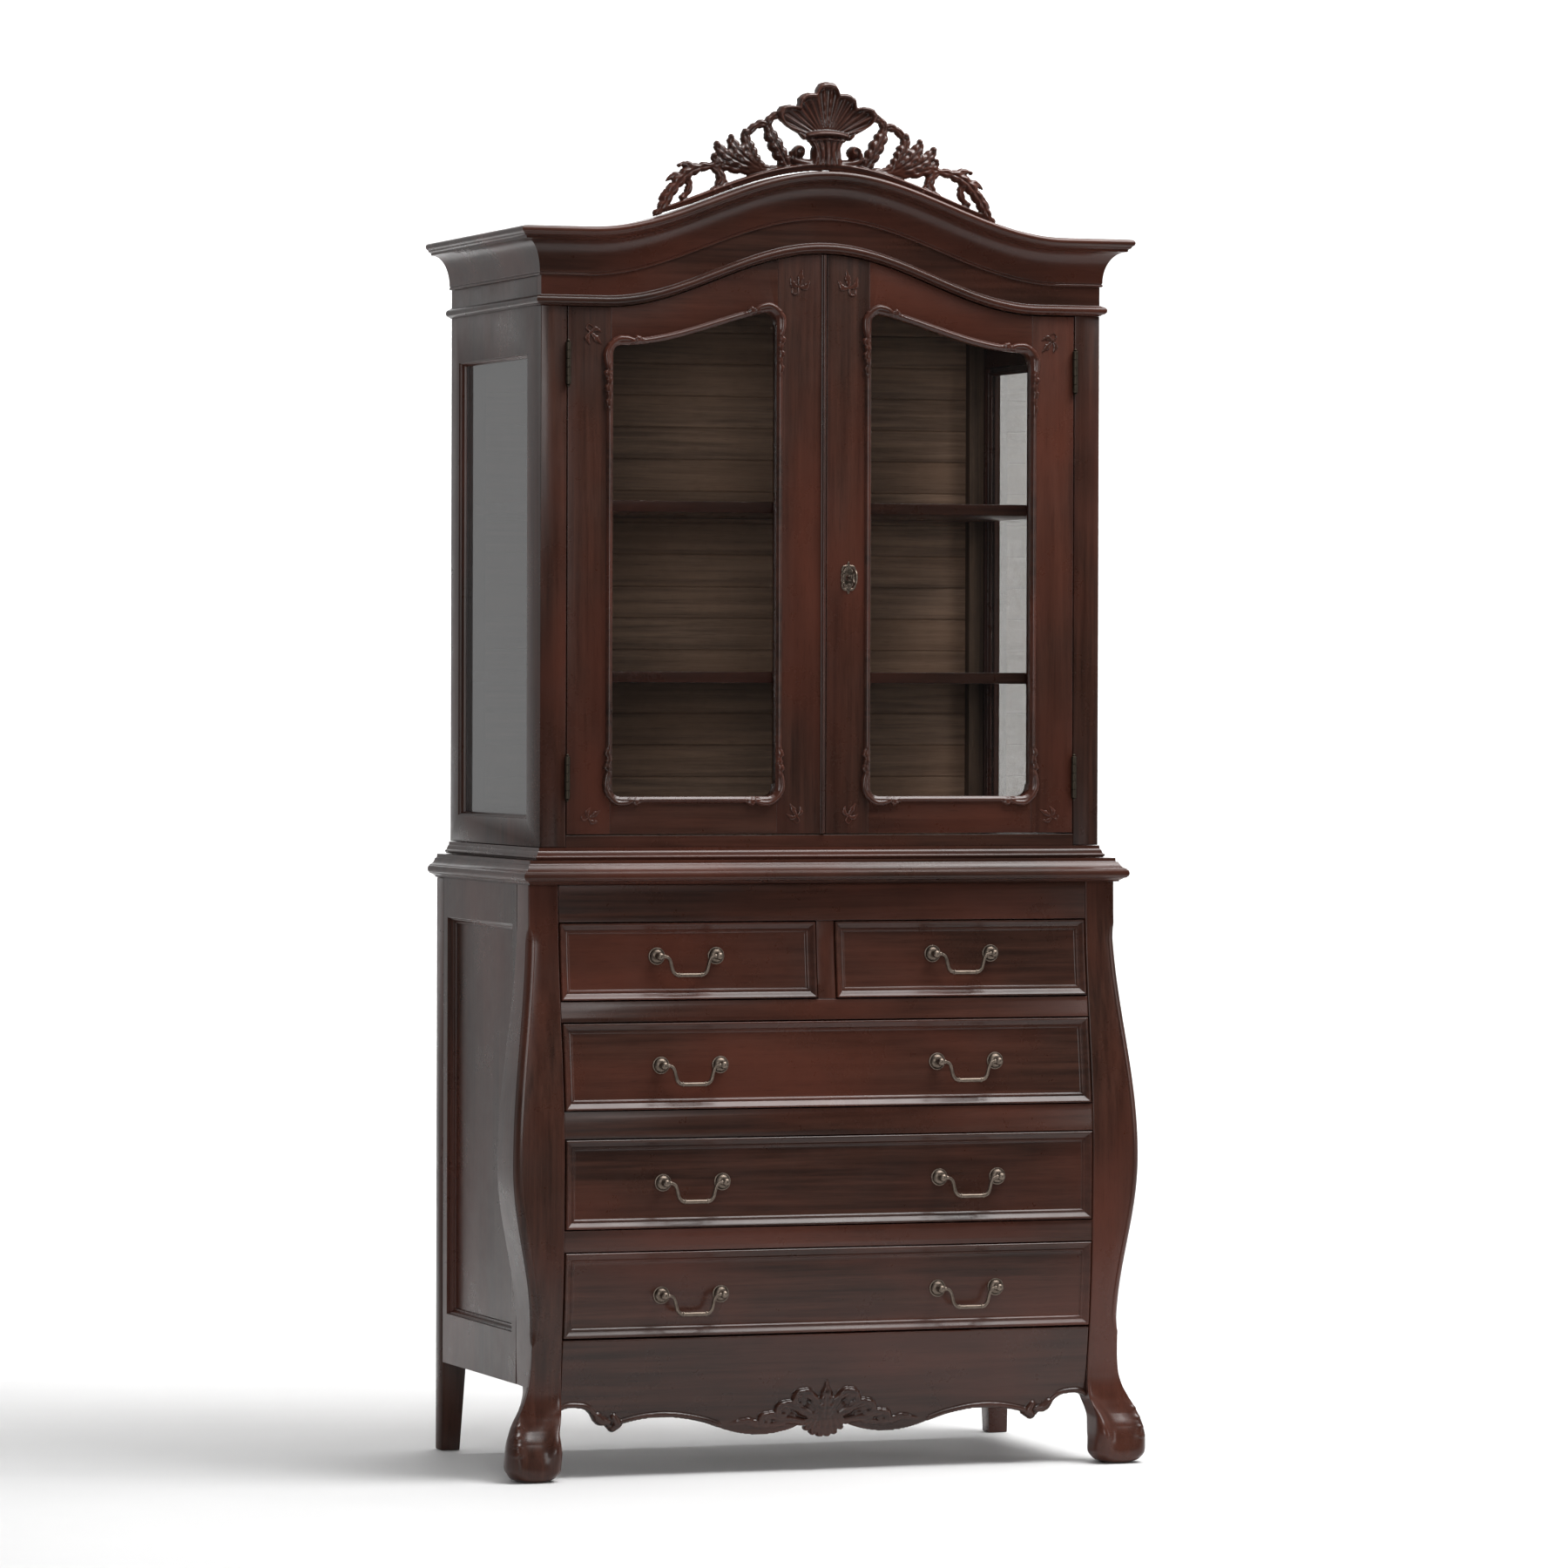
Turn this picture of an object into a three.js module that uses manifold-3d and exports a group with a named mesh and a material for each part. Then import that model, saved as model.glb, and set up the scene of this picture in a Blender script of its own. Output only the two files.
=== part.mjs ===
// China cabinet: a glazed two-door cupboard standing on a bow-fronted chest of five drawers.
// Millimetres, +Z up, the front looks along -Y. Heights are above the floor. While the parts are made,
// y = 0 is the front of the chest's top rail; the last lines centre the whole cabinet over the origin.
import * as THREE from 'three';
import { mergeVertices } from 'three/addons/utils/BufferGeometryUtils.js';
import Module from 'manifold-3d';

const wasm = await Module();
wasm.setup();

// ---------------------------------------------------------------- driving dimensions
const chest_width = 1000;
const chest_depth = 510;
const chest_bottom = 147;
const post_width = 50;
const post_depth = 62;
const belly_forward = 40;
const belly_side = 32;
const belly_z = 498;
const belly_bottom = 70;
const belly_below_top = 16;
const side_belly_bottom = 235;
const side_belly_below_top = 46;
const band_bottom = 214;
const band_below_top = 70;
const corner_band = 12;
const foot_width = 91;
const foot_length = 90;
const back_post = 40;
const back_foot = 32;

// Drawer rows from the bottom up, each with the rail under it.
const drawer_rows = [
  { name: '4', rail_below: 76, height: 140, pull_lift: -2 },
  { name: '3', rail_below: 34, height: 146, pull_lift: 1 },
  { name: '2', rail_below: 43, height: 141, pull_lift: 1 },
  { name: '1', rail_below: 33, height: 126, pull_lift: 8 },
];
const top_rail_height = 60;
const divider_width = 30;
const drawer_clearance = 2;
const drawer_back_face = 14;
const drawer_rim = 18;
const drawer_sink = 8;
const drawer_wall = 10;
const drawer_floor = 8;
const drawer_box_depth = 448;
const drawer_box_drop = 12;
const rail_depth = 26;
const dust_board = 12;
const front_rail_inset = 2;

const apron_low = 60;
const apron_tip = 56;

const panel_board = 22;
const back_board = 12;
const side_panel_sink = 14;
const side_panel_margin_front = 23;
const side_panel_margin_back = 22;
const side_panel_margin_bottom = 81;
const side_panel_margin_top = 64;

const waist_height = 39;
const waist_overhang_side = 16;
const waist_overhang_front = 30;

const body_width = 954;
const body_front = 14;
const base_step_height = 20;
const base_step_overhang = 9;
const base_rail_height = 19;
const corner_post_width = 43;
const corner_post_depth = 36;
const side_board = 24;
const door_height = 840;
const frieze_height = 117;
const roof_board = 15;
const roof_drop = 10;
const side_window_front = 74;
const side_window_back = 45;
const side_window_bottom = 45;
const side_window_below_top = 192;
const glass_thickness = 4;
const glass_margin = 8;
const plank_pitch = 53;
const plank_groove = 2;

const door_thickness = 24;
const door_gap = 2;
const stile_width = 74;
const bottom_rail = 59;
const top_rail_outer = 59;
const top_rail_inner = 80;
const door_rebate = 12;
const rebate_width = 9;
const moulding_width = 12;
const moulding_proud = 7;
const meeting_bead_width = 8;
const meeting_bead_proud = 5;
const opening_corner = 20;

const frieze_board = 22;
const bead_height = 16;
const bead_proud = 10;
const bead_rise = 92;
const bead_half_span = 370;
const cornice_height = 78;
const cornice_overhang = 45;
const cornice_rise = 98;
const cornice_half_span = 405;

const crest_height = 243;
const crest_half_width = 295;
const crest_thickness = 24;
const crest_front = -12;

const shelf_thickness = 18;
const shelf_heights = [262, 536];
const shelf_set_back = 4;

const hinge_radius = 4.5;
const hinge_length = 76;
const hinge_leaf = 1;
const hinge_from_end = 90;

const pull_spacing = 100;
const pull_x = 235;
const pull_drop = 30;
const pull_wire = 2.6;
const pull_standoff = 20;
const pull_post_radius = 5;
const rosette_radius = 14;
const rosette_dome = 7;

const lock_height = 412;
const key_radius = 3;
const key_clearance = 1;
const key_reach = 44;
const key_bow_radius = 11;
const escutcheon_width = 28;
const escutcheon_height = 52;
const escutcheon_thickness = 2.5;
const lock_case = { width: 42, height: 52, thickness: 11 };

const gap = 0.3;

// ---------------------------------------------------------------- values that follow from them
let row_bottom = chest_bottom;
for (const row of drawer_rows) {
  row.bottom = row_bottom + row.rail_below;
  row_bottom = row.bottom + row.height;
}
const chest_top_z = row_bottom + top_rail_height;
const belly_top = chest_top_z - belly_below_top;
const side_belly_top = chest_top_z - side_belly_below_top;
const band_top = chest_top_z - band_below_top;
const chest_half = chest_width / 2;
const bay_half = chest_half - post_width;
const body_half = body_width / 2;
const base_z = chest_top_z + waist_height;
const body_bottom = base_z + base_step_height;
const floor_z = body_bottom + base_rail_height;
const door_bottom = floor_z + door_gap;
const door_top = door_bottom + door_height;
const frieze_bottom = door_top + door_gap;
const body_top_z = frieze_bottom + frieze_height;
const lock_z = door_bottom + lock_height;
const door_outer = body_half - corner_post_width - door_gap;
const post_inner = body_half - corner_post_width;
const hinge_x = post_inner - door_gap / 2;
const hinge_y = body_front - gap - hinge_radius;
const door_back = body_front + door_thickness;
const inside_half = body_half - side_board;
const inside_back = chest_depth - back_board;
const cornice_z = body_top_z + 8 - cornice_height;
const crest_base_z = cornice_z + cornice_height + gap;
const door_split = meeting_bead_width / 2;

// ---------------------------------------------------------------- finishes
const finish = {
  mahogany: { color: 0x3e2420, roughness: 0.32, metalness: 0 },
  inside_wood: { color: 0x4a3528, roughness: 0.6, metalness: 0 },
  drawer_wood: { color: 0x8a6a4a, roughness: 0.7, metalness: 0 },
  pewter: { color: 0x8c7a70, roughness: 0.35, metalness: 1 },
  glass: { color: 0xdfe8ea, roughness: 0.05, metalness: 0, transparent: true, opacity: 0.35 },
};

const cabinet = new THREE.Group();

function place(name, geometry, look) {
  const mesh = new THREE.Mesh(facingOut(geometry), new THREE.MeshStandardMaterial(finish[look]));
  mesh.name = name;
  cabinet.add(mesh);
  return mesh;
}

// ---------------------------------------------------------------- solids and booleans
function positionsOnly(geometry) {
  const bare = geometry.clone();
  bare.deleteAttribute('normal');
  bare.deleteAttribute('uv');
  return mergeVertices(bare, 1e-4);
}

function facingOut(geometry) {
  const solid = positionsOnly(geometry);
  const points = solid.getAttribute('position');
  const index = solid.getIndex().array;
  const a = new THREE.Vector3();
  const b = new THREE.Vector3();
  const c = new THREE.Vector3();
  let volume = 0;
  for (let i = 0; i < index.length; i += 3) {
    a.fromBufferAttribute(points, index[i]);
    b.fromBufferAttribute(points, index[i + 1]);
    c.fromBufferAttribute(points, index[i + 2]);
    volume += a.dot(b.cross(c));
  }
  if (volume < 0) {
    for (let i = 0; i < index.length; i += 3) {
      [index[i], index[i + 1]] = [index[i + 1], index[i]];
    }
  }
  solid.computeVertexNormals();
  return solid;
}

function toManifold(geometry) {
  const solid = facingOut(geometry);
  return new wasm.Manifold(new wasm.Mesh({
    numProp: 3,
    vertProperties: new Float32Array(solid.getAttribute('position').array),
    triVerts: new Uint32Array(solid.getIndex().array),
  }));
}

function fromManifold(manifold) {
  const mesh = manifold.getMesh();
  const geometry = new THREE.BufferGeometry();
  geometry.setAttribute('position', new THREE.BufferAttribute(mesh.vertProperties, 3));
  geometry.setIndex(new THREE.BufferAttribute(mesh.triVerts, 1));
  return geometry;
}

function join(first, ...others) {
  return fromManifold(others.reduce((sum, next) => sum.add(toManifold(next)), toManifold(first)));
}

function cut(first, ...others) {
  return fromManifold(others.reduce((rest, next) => rest.subtract(toManifold(next)), toManifold(first)));
}

function overlap(first, second) {
  return fromManifold(toManifold(first).intersect(toManifold(second)));
}

function block(x, y, z) {
  const geometry = new THREE.BoxGeometry(x[1] - x[0], y[1] - y[0], z[1] - z[0]);
  return geometry.translate((x[0] + x[1]) / 2, (y[0] + y[1]) / 2, (z[0] + z[1]) / 2);
}

// An outline in (y, z) pushed along X, or in (x, z) pushed along Y.
function extrudeAlongX(shape, x) {
  const depth = x[1] - x[0];
  const geometry = new THREE.ExtrudeGeometry(shape, { depth, bevelEnabled: false, curveSegments: 8 });
  const turn = new THREE.Matrix4().makeBasis(
    new THREE.Vector3(0, 1, 0), new THREE.Vector3(0, 0, 1), new THREE.Vector3(1, 0, 0));
  return geometry.applyMatrix4(turn).translate(x[0], 0, 0);
}

function extrudeAlongY(shape, y, curveSegments = 8) {
  const depth = y[1] - y[0];
  const geometry = new THREE.ExtrudeGeometry(shape, { depth, bevelEnabled: false, curveSegments });
  const turn = new THREE.Matrix4().makeBasis(
    new THREE.Vector3(1, 0, 0), new THREE.Vector3(0, 0, 1), new THREE.Vector3(0, -1, 0));
  return geometry.applyMatrix4(turn).translate(0, y[1], 0);
}

function polygon(points) {
  return new THREE.Shape(points.map(([u, v]) => new THREE.Vector2(u, v)));
}

function mirrorX(geometry) {
  return geometry.clone().scale(-1, 1, 1);
}

// Rings of equal length, stacked and closed at both ends. The flat outline says how the ends are filled.
function loft(rings, outline) {
  const count = outline.length;
  const points = rings.flat();
  const index = [];
  for (let ring = 0; ring + 1 < rings.length; ring++) {
    for (let i = 0; i < count; i++) {
      const a = ring * count + i;
      const b = ring * count + (i + 1) % count;
      index.push(a, b, b + count, a, b + count, a + count);
    }
  }
  const last = (rings.length - 1) * count;
  for (const [a, b, c] of THREE.ShapeUtils.triangulateShape(outline, [])) {
    index.push(c, b, a, last + a, last + b, last + c);
  }
  const geometry = new THREE.BufferGeometry();
  const positions = new Float32Array(points.flatMap((p) => [p.x, p.y, p.z]));
  geometry.setAttribute('position', new THREE.BufferAttribute(positions, 3));
  geometry.setIndex(index);
  return geometry;
}

// A board with a moulded edge on the front and both sides. Each level holds its overhang at the sides, its
// overhang at the front and its height.
function mouldedBoard(half, front, back, levels) {
  const outline = [[-1, -1], [1, -1], [1, 1], [-1, 1]].map(([x, y]) => new THREE.Vector2(x, y));
  const rings = levels.map(([side, forward, z]) => [
    new THREE.Vector3(-half - side, front - forward, z),
    new THREE.Vector3(half + side, front - forward, z),
    new THREE.Vector3(half + side, back, z),
    new THREE.Vector3(-half - side, back, z),
  ]);
  return loft(rings, outline);
}

// A moulding that runs along one side, mitres round the front and runs back along the other side.
// The profile holds [out from the wall, up]; lift(x) raises it along the front.
function wrapMoulding(half, front, back, z, profile, lift, span) {
  const stations = [{ x: -half, y: back, ox: -1, oy: 0 }, { x: -half, y: front, ox: -1, oy: -1 }];
  const steps = 24;
  for (let i = 0; i <= steps; i++) {
    stations.push({ x: -span + 2 * span * i / steps, y: front, ox: 0, oy: -1 });
  }
  stations.push({ x: half, y: front, ox: 1, oy: -1 }, { x: half, y: back, ox: 1, oy: 0 });
  const rings = stations.map((s) => profile.map(([out, up]) => new THREE.Vector3(
    s.x + s.ox * out, s.y + s.oy * out, z + up + lift(s.x))));
  return loft(rings, profile.map(([out, up]) => new THREE.Vector2(out, up)));
}

// ---------------------------------------------------------------- curves of the front
// How far the chest's front stands forward of its top rail at a height, and its corner stands out sideways.
function bellyForward(z) {
  if (z >= belly_top || z <= belly_bottom) return 0;
  if (z < belly_z) return belly_forward * (1 - ((belly_z - z) / (belly_z - belly_bottom)) ** 2.5);
  const share = (z - belly_z) / (belly_top - belly_z);
  return belly_forward / 2 * (1 + Math.cos(Math.PI * share));
}

function bellySide(z) {
  const reach = z > belly_z ? side_belly_top - belly_z : belly_z - side_belly_bottom;
  const share = Math.min(Math.abs(z - belly_z) / reach, 1);
  return belly_side / 2 * (1 + Math.cos(Math.PI * share));
}

function arch(x, rise, half_span) {
  return rise / 2 * (1 + Math.cos(Math.PI * Math.min(Math.abs(x) / half_span, 1)));
}

const beadLift = (x) => arch(x, bead_rise, bead_half_span);
const corniceLift = (x) => arch(x, cornice_rise, cornice_half_span);

// Points of a (y, z) front edge between two heights, from the bottom up.
function frontEdge(low, high, inset, steps) {
  const points = [];
  for (let i = 0; i <= steps; i++) {
    const z = low + (high - low) * i / steps;
    points.push([inset - bellyForward(z), z]);
  }
  return points;
}

function curvedFrontBlock(x, low, high, back, inset = 0, steps = 4) {
  return extrudeAlongX(polygon([...frontEdge(low, high, inset, steps), [back, high], [back, low]]), x);
}

// ---------------------------------------------------------------- chest
// One ring of a rounded rectangle with its own radius at the outer front corner.
function legRing(z, x, y, outer_front, others) {
  const corners = [
    { cx: x[1], cy: y[0], radius: outer_front, turn: -0.5 },
    { cx: x[1], cy: y[1], radius: others, turn: 0 },
    { cx: x[0], cy: y[1], radius: others, turn: 0.5 },
    { cx: x[0], cy: y[0], radius: others, turn: 1 },
  ];
  const steps = 3;
  const ring = [];
  for (const corner of corners) {
    const sx = corner.cx === x[1] ? -1 : 1;
    const sy = corner.cy === y[1] ? -1 : 1;
    for (let i = 0; i <= steps; i++) {
      const angle = Math.PI * (corner.turn + 0.5 * i / steps);
      const along_x = corner.cx + corner.radius * (sx + Math.cos(angle));
      const along_y = corner.cy + corner.radius * (sy + Math.sin(angle));
      ring.push(new THREE.Vector3(along_x, along_y, z));
    }
  }
  return ring;
}

function frontLeg() {
  const rings = [];
  const foot_out = chest_half + 45;
  const foot_front = post_depth - 40 - foot_length;
  const foot_in = foot_out - foot_width;
  const foot_back = foot_front + foot_length;
  // Each row: height, inner and outer x, front and back y, corner radius. The leg is shallow below the
  // chest, and squares off to the post's full depth where the side begins.
  const lower = [
    [0, foot_in + 12, foot_out - 14, foot_front + 13, foot_back - 12, 30],
    [8, foot_in + 3, foot_out - 5, foot_front + 5, foot_back - 4, 36],
    [24, foot_in, foot_out, foot_front, foot_back, 38],
    [44, foot_in, foot_out, foot_front + 1, foot_back, 37],
    [62, foot_in + 2, foot_out - 3, foot_front + 8, foot_back, 32],
    [84, foot_in, foot_out - 13, foot_front + 26, foot_back + 1, 22],
    [104, bay_half, chest_half + 18, -26, foot_back + 3, 13],
    [128, bay_half, chest_half + 5, -bellyForward(160), foot_back + 5, 7],
    [chest_bottom - 1, bay_half, chest_half, -bellyForward(160), foot_back + 7, 4],
    [chest_bottom + 1, bay_half, chest_half, -bellyForward(160), post_depth, 4],
  ];
  for (const [z, inner, outer, front, back, radius] of lower) {
    rings.push(legRing(z, [inner, outer], [front, back], radius, radius));
  }
  const heights = [band_bottom - 8];
  const steps = 12;
  for (let i = 0; i <= steps; i++) {
    heights.push(band_bottom + 8 + (band_top - band_bottom - 16) * i / steps);
  }
  heights.push(band_top + 24);
  for (const z of heights) {
    const banded = z > band_bottom && z < band_top;
    rings.push(legRing(z, [bay_half, chest_half + bellySide(z)], [-bellyForward(z), post_depth],
      banded ? corner_band : 2, 1));
  }
  rings.push(legRing(chest_top_z - gap, [bay_half, chest_half], [0, post_depth], 2, 1));
  const outline = rings[0].map((p) => new THREE.Vector2(p.x, p.y));
  return loft(rings, outline);
}

function backLeg() {
  const inner = chest_half - back_post;
  const front = chest_depth - back_post;
  const outline = [[0, 0], [1, 0], [1, 1], [0, 1]].map(([x, y]) => new THREE.Vector2(x, y));
  const ring = (z, size) => [
    new THREE.Vector3(chest_half - size, chest_depth - size, z),
    new THREE.Vector3(chest_half, chest_depth - size, z),
    new THREE.Vector3(chest_half, chest_depth, z),
    new THREE.Vector3(chest_half - size, chest_depth, z),
  ];
  const rings = [
    ring(0, back_foot), ring(chest_bottom - 10, back_post), ring(chest_top_z - gap, back_post),
  ];
  return { geometry: loft(rings, outline), inner, front };
}

function chestSide(back_post_front) {
  const outer = chest_half;
  const y = [post_depth + gap, back_post_front - gap];
  const z = [chest_bottom, chest_top_z - gap];
  const board = block([outer - panel_board, outer], y, z);
  const field_y = [y[0] + side_panel_margin_front, y[1] - side_panel_margin_back];
  const field_z = [z[0] + side_panel_margin_bottom, z[1] - side_panel_margin_top];
  const sunk = block([outer - side_panel_sink, outer + 1], field_y, field_z);
  return cut(board, sunk);
}

// A board that fills the chest's plan between its four posts, from a front line back to the chest's back.
function boardInsideChest(front, low, back) {
  const board_half = chest_half - panel_board - gap;
  const outline = [
    [bay_half - gap, front],
    [bay_half - gap, post_depth + gap],
    [board_half, post_depth + gap],
    [board_half, back.front - gap],
    [back.inner - gap, back.front - gap],
    [back.inner - gap, inside_back - gap],
  ];
  const plan = polygon([...outline, ...outline.map(([x, y]) => [-x, y]).reverse()]);
  const board = new THREE.ExtrudeGeometry(plan, { depth: dust_board, bevelEnabled: false });
  return board.translate(0, 0, low);
}

// A web frame between two drawer rows: a shaped front rail with a dust board behind it.
function webFrame(low, high, back) {
  const rail_x = [-bay_half + gap, bay_half - gap];
  const rail = curvedFrontBlock(rail_x, low, high, rail_depth, front_rail_inset);
  const board_low = (low + high) / 2 - dust_board / 2;
  return join(rail, boardInsideChest(rail_depth - 2, board_low, back));
}

// Half of the apron's lower edge, from the leg to the middle: each stroke is its start, control and end point,
// given as [distance from the leg, height]. The leaf's are [distance from the middle, height].
const apron_scrolls = [
  [[0, 106], [12, 114], [26, 112]],
  [[26, 112], [50, 112], [60, 96]],
  [[60, 96], [66, 78], [80, 83]],
  [[80, 83], [94, 64], [108, 84]],
  [[108, 84], [185, 106], [270, 74]],
];
const apron_leaf = [
  [[180, 74], [120, apron_low - 10], [60, apron_low + 6]],
  [[60, apron_low + 6], [46, apron_low + 10], [34, apron_low + 17]],
  [[34, apron_low + 17], [24, apron_tip + 4], [8, apron_tip]],
];

function apronShape(top) {
  const half = bay_half - gap;
  const strokes = [
    ...apron_scrolls.map((stroke) => stroke.map(([in_from_leg, z]) => [half - in_from_leg, z])),
    ...apron_leaf,
  ];
  const shape = new THREE.Shape();
  shape.moveTo(-half, top);
  shape.lineTo(-half, strokes[0][0][1]);
  for (const [start, control, end] of strokes) {
    shape.lineTo(-start[0], start[1]);
    shape.quadraticCurveTo(-control[0], control[1], -end[0], end[1]);
  }
  for (const [start, control, end] of strokes.reverse()) {
    shape.lineTo(end[0], end[1]);
    shape.quadraticCurveTo(control[0], control[1], start[0], start[1]);
  }
  shape.lineTo(half, top);
  return shape;
}

function makeChest() {
  const leg = frontLeg();
  place('leg_front_right', leg, 'mahogany');
  place('leg_front_left', mirrorX(leg), 'mahogany');
  const back = backLeg();
  place('leg_back_right', back.geometry, 'mahogany');
  place('leg_back_left', mirrorX(back.geometry), 'mahogany');
  const side = chestSide(back.front);
  place('chest_side_right', side, 'mahogany');
  place('chest_side_left', mirrorX(side), 'mahogany');
  place('chest_back', block([-back.inner + gap, back.inner - gap], [inside_back, chest_depth],
    [chest_bottom, chest_top_z - gap]), 'inside_wood');

  const rows = drawer_rows;
  const top_row = rows[rows.length - 1];
  place('top_rail', curvedFrontBlock([-bay_half + gap, bay_half - gap], top_row.bottom + top_row.height,
    chest_top_z - gap, rail_depth, 0), 'mahogany');
  for (let i = 0; i + 1 < rows.length; i++) {
    const frame = webFrame(rows[i].bottom + rows[i].height, rows[i + 1].bottom, back);
    place(`web_frame_${rows[i + 1].name}`, frame, 'mahogany');
  }
  const divider_z = [top_row.bottom + gap, top_row.bottom + top_row.height - gap];
  const divider_half = divider_width / 2;
  place('drawer_divider', curvedFrontBlock([-divider_half, divider_half], divider_z[0], divider_z[1],
    inside_back - gap, front_rail_inset), 'mahogany');

  const apron_top = rows[0].bottom;
  const belly_z_range = [apron_tip - 5, apron_top + 1];
  const belly = curvedFrontBlock([-chest_half, chest_half], ...belly_z_range, drawer_back_face, 0, 10);
  const apron = extrudeAlongY(apronShape(apron_top), [-belly_forward - 5, drawer_back_face + 5], 5);
  place('apron', overlap(apron, belly), 'mahogany');
  const bottom_low = apron_top - dust_board - 4;
  place('chest_bottom', boardInsideChest(drawer_back_face + gap, bottom_low, back), 'inside_wood');

  // Each level of the waist: how far it stays inside the side overhang, inside the front overhang, and its
  // height above the chest.
  const levels = [
    [13, 14, 0], [12, 12, 4], [3, 3, 8], [0, 0, 13], [0, 0, 18], [4, 4, 23], [12, 13, 28], [16, 22, 33],
    [17, 23, waist_height - gap],
  ].map(([side_in, front_in, up]) => [
    waist_overhang_side - side_in, waist_overhang_front - front_in, chest_top_z + up,
  ]);
  place('waist_moulding', mouldedBoard(chest_half, 0, chest_depth, levels), 'mahogany');
}

// ---------------------------------------------------------------- drawers
function rosetteAndPost(x, face, z) {
  const profile = [
    [0, drawer_sink], [pull_post_radius, drawer_sink], [pull_post_radius, 0.5], [rosette_radius, 0.5],
    [rosette_radius, -2], [rosette_radius * 0.6, -rosette_dome], [pull_post_radius, -rosette_dome - 1],
    [pull_post_radius, -pull_standoff - pull_post_radius], [0, -pull_standoff - pull_post_radius - 2],
  ].map(([radius, out]) => new THREE.Vector2(radius, out));
  return new THREE.LatheGeometry(profile, 10).translate(x, face, z);
}

function makeBail(name, x, face, z) {
  const side = (s) => [
    [s * (pull_spacing / 2 - pull_post_radius - 0.8), 0], [s * (pull_spacing / 2 - 15), -2],
    [s * (pull_spacing / 2 - 20), -pull_drop * 0.5], [s * (pull_spacing / 2 - 25), -pull_drop * 0.9],
    [s * 12, -pull_drop],
  ];
  const points = [...side(-1), ...side(1).reverse()].map(([u, v]) => new THREE.Vector3(u, 0, v));
  const path = new THREE.CatmullRomCurve3(points, false, 'centripetal');
  const ring = [];
  for (let i = 0; i < 6; i++) {
    ring.push([pull_wire * Math.cos(Math.PI * i / 3), pull_wire * Math.sin(Math.PI * i / 3)]);
  }
  const along = { steps: 22, bevelEnabled: false, extrudePath: path };
  const geometry = new THREE.ExtrudeGeometry(polygon(ring), along);
  place(name, geometry.translate(x, face - pull_standoff, z), 'pewter');
}

function makeDrawer(name, row, x, pulls) {
  const low = row.bottom + drawer_clearance;
  const high = row.bottom + row.height - drawer_clearance;
  const edge_x = [x[0] + drawer_clearance, x[1] - drawer_clearance];
  const board = curvedFrontBlock(edge_x, low, high, drawer_back_face, -1);
  const sunk_z = [low + drawer_rim, high - drawer_rim];
  const sunk_edge = frontEdge(sunk_z[0], sunk_z[1], drawer_sink - 1, 4);
  const clear_of_front = -belly_forward - 20;
  const sunk_shape = polygon([...sunk_edge, [clear_of_front, sunk_z[1]], [clear_of_front, sunk_z[0]]]);
  const sunk = extrudeAlongX(sunk_shape, [edge_x[0] + drawer_rim, edge_x[1] - drawer_rim]);
  const pull_z = row.bottom + row.height / 2 + row.pull_lift;
  const face = drawer_sink - 1 - bellyForward(pull_z);
  let front = cut(board, sunk);
  pulls.forEach((centre, i) => {
    const posts = [-1, 1].map((s) => rosetteAndPost(centre + s * pull_spacing / 2, face, pull_z));
    front = join(front, ...posts);
    makeBail(`bail_${name}${pulls.length > 1 ? ['_left', '_right'][i] : ''}`, centre, face, pull_z);
  });
  place(`drawer_front_${name}`, front, 'mahogany');

  const box_x = [edge_x[0] + 2, edge_x[1] - 2];
  const box_y = [drawer_back_face + gap, drawer_back_face + gap + drawer_box_depth];
  const box_z = [low + 1, high - drawer_box_drop];
  const outside = block(box_x, box_y, box_z);
  const inside = block([box_x[0] + drawer_wall, box_x[1] - drawer_wall],
    [box_y[0] + drawer_wall, box_y[1] - drawer_wall], [box_z[0] + drawer_floor, box_z[1] + 1]);
  place(`drawer_box_${name}`, cut(outside, inside), 'drawer_wood');
}

function makeDrawers() {
  for (const row of drawer_rows) {
    if (row.name === '1') {
      makeDrawer('1_left', row, [-bay_half, -divider_width / 2], [-pull_x]);
      makeDrawer('1_right', row, [divider_width / 2, bay_half], [pull_x]);
    } else {
      makeDrawer(row.name, row, [-bay_half, bay_half], [-pull_x, pull_x]);
    }
  }
}

// ---------------------------------------------------------------- upper cabinet
function sideFrame() {
  const outer = [body_half - side_board, body_half];
  const shape = polygon([
    [body_front, body_bottom + gap], [chest_depth, body_bottom + gap], [chest_depth, body_top_z],
    [body_front + frieze_board + gap, body_top_z], [body_front + frieze_board + gap, frieze_bottom - gap],
    [body_front, frieze_bottom - gap],
  ]);
  const window_y = [body_front + side_window_front, chest_depth - side_window_back];
  const window_z = [body_bottom + side_window_bottom, body_top_z - side_window_below_top];
  shape.holes.push(polygon([
    [window_y[0], window_z[0]], [window_y[0], window_z[1]],
    [window_y[1], window_z[1]], [window_y[1], window_z[0]],
  ]));
  const board = extrudeAlongX(shape, outer);
  const post = block([body_half - corner_post_width, outer[0] + 1],
    [body_front, body_front + corner_post_depth], [body_bottom + gap, frieze_bottom - gap]);
  const rebate = block([outer[0] - 1, outer[0] + side_board / 2],
    [window_y[0] - glass_margin, window_y[1] + glass_margin],
    [window_z[0] - glass_margin, window_z[1] + glass_margin]);
  const glass_inner = outer[0] + side_board / 2 - gap - glass_thickness;
  const glass = block([glass_inner, glass_inner + glass_thickness],
    [window_y[0] - glass_margin + gap, window_y[1] + glass_margin - gap],
    [window_z[0] - glass_margin + gap, window_z[1] + glass_margin - gap]);
  return { frame: cut(join(board, post), rebate), glass };
}

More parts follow.
